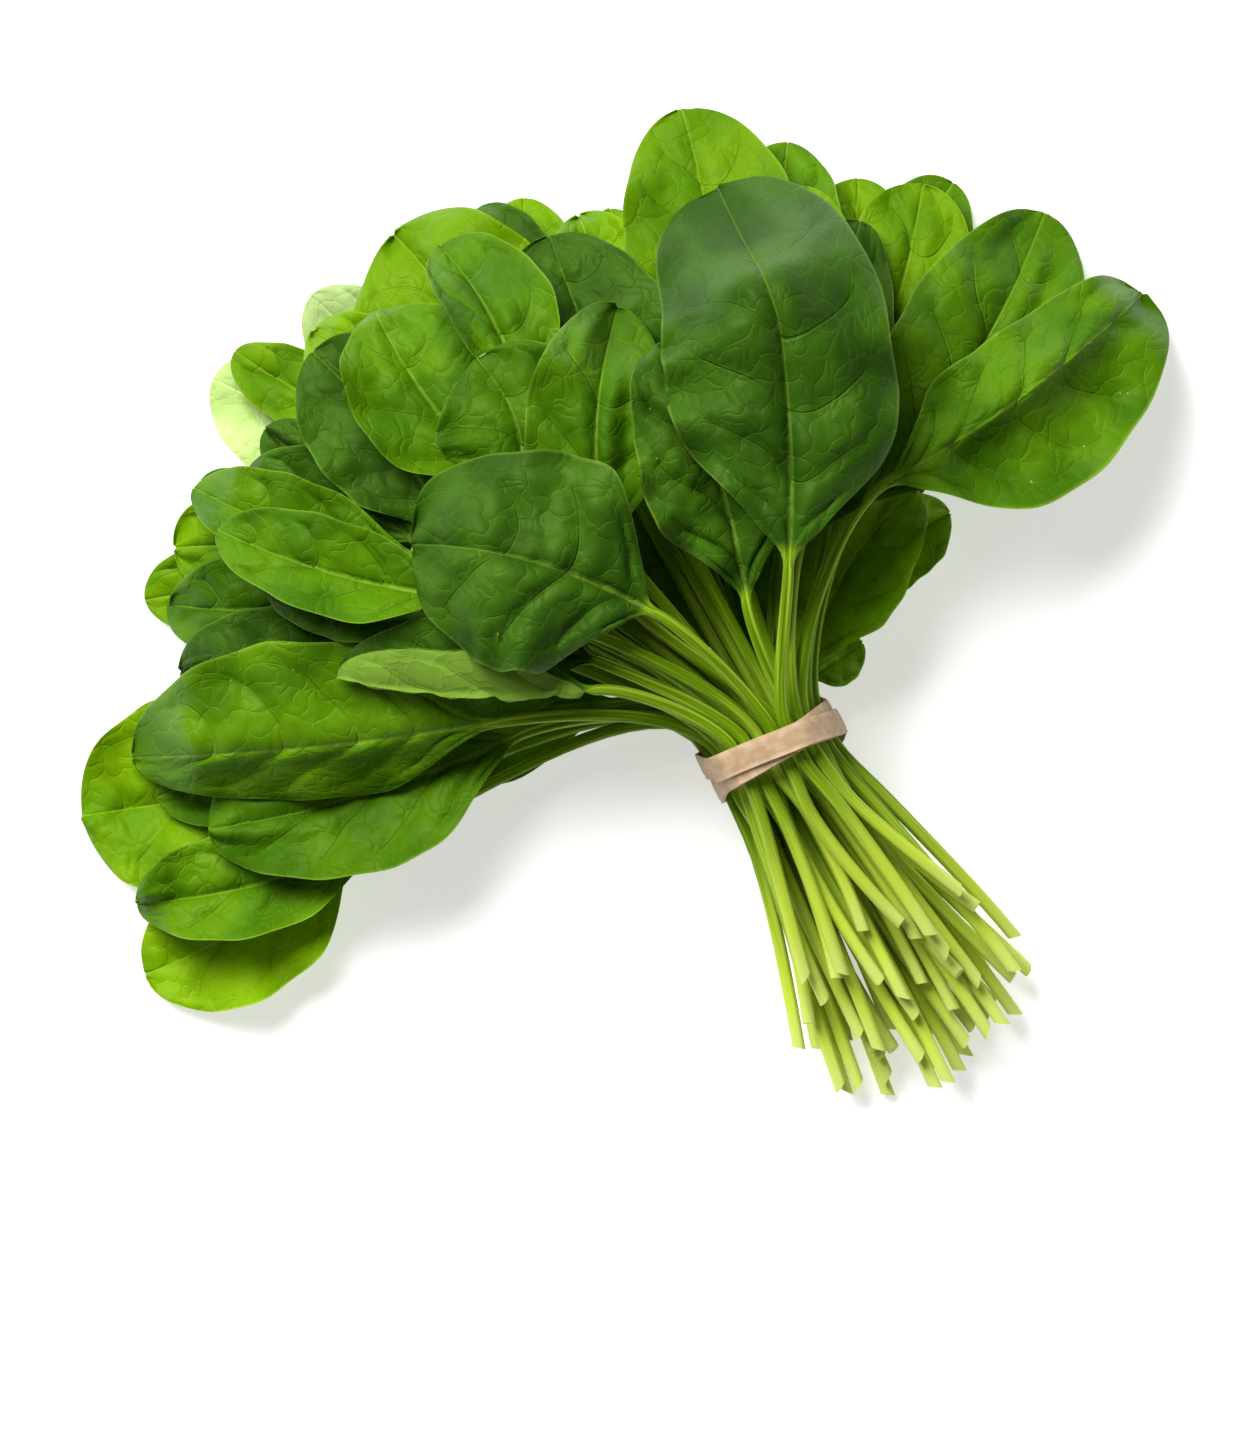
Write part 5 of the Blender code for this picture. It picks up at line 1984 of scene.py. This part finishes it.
    def stalk_colour(self, ink: Sketch) -> bpy.types.NodeSocket:
        """The stalk's colour: green with fine light lines, paling to its cut end.

        Args:
            ink: the sketch of the tree.

        Returns:
            The colour.
        """
        across, along = ink.layer("place")
        _, from_cut = ink.layer("reach")
        where = ink.stretched(across, self.LINE_ACROSS, along, self.LINE_ALONG)
        lines = ink.noise(where, 1.0, 1.0)
        pale = linear(self.cut_end)
        colour = ink.mix(ink.ramp(lines, *self.STALK_LINES), linear(self.stalk), pale)
        colour = ink.mix(ink.ramp(from_cut, *self.PALING), colour, pale)
        return ink.mix(ink.ramp(from_cut, *self.CUT_PALING), colour, linear(self.cut_face))


LEAF_FINISHES = (
    LeafFinish(
        Tone.DARK, (58, 102, 16), (40, 80, 8), (124, 160, 52), (120, 162, 52), rib_contrast=0.34
    ),
    LeafFinish(
        Tone.MID, (78, 126, 4), (58, 106, 2), (142, 182, 56), (140, 176, 72), rib_contrast=0.36
    ),
    # The bright greens are partly painted light: the glow of light let through the outer leaves.
    LeafFinish(
        Tone.BRIGHT, (108, 154, 0), (86, 136, 0), (160, 196, 46), (152, 186, 66), rib_contrast=0.36
    ),
    LeafFinish(Tone.PALE, (178, 204, 132), (152, 182, 104), (206, 226, 160), (188, 208, 140)),
)


@dataclass(frozen=True)
class BandFinish:
    """Tan rubber, lighter where it is stretched at the sides."""

    body: Colour = (176, 146, 110)
    light: Colour = (192, 164, 130)
    dark: Colour = (140, 110, 80)
    roughness: float = 0.62
    relief: float = 0.06

    CLOUDS, LINES, EDGES = (0.35, 0.7), (0.52, 0.75, 0.0, 0.35), (0.44, 0.5, 0.0, 0.5)
    # The strip's width and length in the patterns of the clouds and of the lines.
    CLOUD_SPAN, LINE_SPAN = (6.8, 240.0), (60.0, 40.0)

    def build(self) -> bpy.types.Material:
        """Make the material.

        Returns:
            The new material.
        """
        made = bpy.data.materials.new("band_finish")
        made.use_nodes = True
        ink = Sketch(made.node_tree)
        shader = made.node_tree.nodes["Principled BSDF"]
        across, turn = ink.layer("strip")
        (cloud_x, cloud_y), (line_x, line_y) = self.CLOUD_SPAN, self.LINE_SPAN
        cloud = ink.noise(ink.stretched(across, cloud_x, turn, cloud_y), 0.35, 3.0)
        lines = ink.noise(ink.stretched(across, line_x, turn, line_y), 1.0, 2.0)
        colour = ink.mix(ink.ramp(cloud, *self.CLOUDS), linear(self.body), linear(self.light))
        colour = ink.mix(ink.ramp(lines, *self.LINES), colour, linear(self.dark))
        from_middle = ink.math("ABSOLUTE", ink.math("SUBTRACT", across, 0.5))
        colour = ink.mix(ink.ramp(from_middle, *self.EDGES), colour, linear(self.light))
        normal = ink.bump(ink.math("MULTIPLY", ink.math("ADD", lines, cloud), self.relief))
        skin = {"Base Color": colour, "Roughness": self.roughness, "Normal": normal}
        for label, entry in skin.items():
            ink.feed(shader.inputs[label], entry)
        return made


# The bunch and the studio -------------------------------------------------------------------

WHITE = (1.0, 1.0, 1.0, 1.0)


class SpinachBunch:
    """All leaves and the band, as pieces that stand for the CAD's nodes."""

    BLADE_GAP = 0.8

    def __init__(self) -> None:
        """Lay every leaf and wind the band."""
        slots = NECK.slots()
        heap = Heap(self.BLADE_GAP)
        self.leaves = []
        for index, plan in enumerate(PLANS):
            fineness = Fineness.SHOWN if plan.shown else Fineness.HIDDEN
            self.leaves.append(LaidLeaf(plan, index, slots[plan.name], heap, fineness))
        LOG.info("%d leaves are laid", len(self.leaves))
        self.band = RubberBand()
        self.band_rings = self.band.rings([leaf.form for leaf in self.leaves])
        self.shift = self.find_shift()

    def find_shift(self) -> np.ndarray:
        """From the plans' frame to the row's: the band over the CAD's, the lowest leaf on z = 0.

        Returns:
            The way in millimetres.
        """
        low, high = (np.array(corner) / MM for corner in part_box(self.band.name))
        own = self.band_rings.reshape(-1, 3)
        middle = 0.5 * (low + high) - 0.5 * (own.min(axis=0) + own.max(axis=0))
        floor = min(leaf.rings[:, :, 2].min() for leaf in self.leaves)
        return np.array((middle[0], middle[1], -floor))

    def build(self) -> None:
        """Make the objects, tie each to its body and hide the CAD part that it stands for."""
        veins = VeinGroup().build()
        finishes = {finish.tone: finish.build(veins) for finish in LEAF_FINISHES}
        for leaf in self.leaves:
            plan = leaf.form.plan
            made = LeafMesh(leaf, self.shift).build(finishes[plan.tone])
            self.declare(made, plan.name, plan.tone.value)
        made = self.band.build(self.band_rings, self.shift, BandFinish().build())
        self.declare(made, self.band.name, "band_rubber")

    @staticmethod
    def declare(made: bpy.types.Object, node: str, slot: str) -> None:
        """Tie a piece to its body and hide the CAD node that it stands for.

        Args:
            made: the piece.
            node: the name of its CAD node.
            slot: the name of its slot, which is not used.
        """
        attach(made, BODY)
        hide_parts(node)
        LOG.info("%s is made", node)


@dataclass(frozen=True)
class Lamp:
    """A square soft lamp that faces the bunch. Its place and size are metres, its power watts."""

    name: str
    place: tuple[float, float, float]
    size: float
    power: float
    aim: tuple[float, float, float] = (0.0, 0.0, 0.03)

    def build(self) -> None:
        """Make the lamp."""
        lamp = bpy.data.lights.new(self.name, "AREA")
        lamp.size = self.size
        lamp.energy = self.power
        made = bpy.data.objects.new(self.name, lamp)
        made.location = self.place
        way = Vector(self.aim) - Vector(self.place)
        made.rotation_euler = way.to_track_quat("-Z", "Y").to_euler()
        bpy.context.scene.collection.objects.link(made)


@dataclass(frozen=True)
class Studio:
    """A pale table, soft daylight from the upper left, and a camera that looks straight down.

    The camera's lengths are millimetres, but clip_end is metres. The floor's width and how far it
    lies below the bunch are metres, and its glow and the world's light are strengths.
    """

    middle: Pair = (-0.25, -30.5)
    reference_height: float = 40.0
    view_height: float = 360.0
    distance: float = 2400.0
    sensor: float = 36.0
    clip_end: float = 20.0
    floor: float = 4.0
    floor_drop: float = 0.0002
    floor_grey: float = 0.86
    floor_roughness: float = 0.9
    floor_glow: float = 0.5
    daylight: float = 0.19
    lamps: tuple[Lamp, ...] = (
        Lamp("key", (-0.68, 0.98, 1.46), 1.1, 62.0),
        Lamp("fill", (1.2, -0.6, 1.4), 1.6, 1.0),
    )
    bounces: int = 2
    sharp_bounces: int = 1

    def build(self, shift: np.ndarray) -> None:
        """Set up floor, light and camera.

        Args:
            shift: from the plans' frame to the row's.
        """
        self.add_floor()
        self.add_world()
        for lamp in self.lamps:
            lamp.build()
        self.add_camera(shift)
        scene = bpy.context.scene
        scene.view_settings.view_transform = "Standard"
        scene.cycles.max_bounces = scene.cycles.diffuse_bounces = self.bounces
        scene.cycles.glossy_bounces = self.sharp_bounces
        scene.cycles.transmission_bounces = self.sharp_bounces

    def add_floor(self) -> None:
        """A wide pale sheet under the bunch."""
        half = self.floor / 2
        mesh = bpy.data.meshes.new("floor")
        corners = [(-half, -half, 0.0), (half, -half, 0.0), (half, half, 0.0), (-half, half, 0.0)]
        mesh.from_pydata(corners, [], [(0, 1, 2, 3)])
        paper = bpy.data.materials.new("floor_paper")
        paper.use_nodes = True
        finish = {
            "Base Color": (*[self.floor_grey] * 3, 1.0),
            "Roughness": self.floor_roughness,
            "Emission Color": WHITE,
            "Emission Strength": self.floor_glow,
        }
        for label, value in finish.items():
            paper.node_tree.nodes["Principled BSDF"].inputs[label].default_value = value
        mesh.materials.append(paper)
        made = placed(mesh)
        made.location.z = -self.floor_drop

    def add_world(self) -> None:
        """Even white light from all round."""
        world = bpy.data.worlds.new("daylight")
        world.use_nodes = True
        back = world.node_tree.nodes["Background"]
        back.inputs["Color"].default_value = WHITE
        back.inputs["Strength"].default_value = self.daylight
        bpy.context.scene.world = world

    def add_camera(self, shift: np.ndarray) -> None:
        """The camera over the bunch.

        Args:
            shift: from the plans' frame to the row's, in millimetres.
        """
        data = bpy.data.cameras.new("overhead")
        data.sensor_fit = "AUTO"
        data.sensor_width = self.sensor
        data.lens = self.sensor * self.distance / self.view_height
        data.clip_end = self.clip_end
        made = bpy.data.objects.new("overhead", data)
        x, y = np.array(self.middle) + shift[:2]
        made.location = (x * MM, y * MM, (self.reference_height + self.distance) * MM)
        bpy.context.scene.collection.objects.link(made)
        bpy.context.scene.camera = made


def main() -> None:
    """Build the bunch and the studio."""
    logging.basicConfig(level=logging.INFO, format="%(name)s: %(message)s")
    bunch = SpinachBunch()
    bunch.build()
    Studio().build(bunch.shift)
    LOG.info("the bunch is built")


if __name__ == "__main__":
    main()
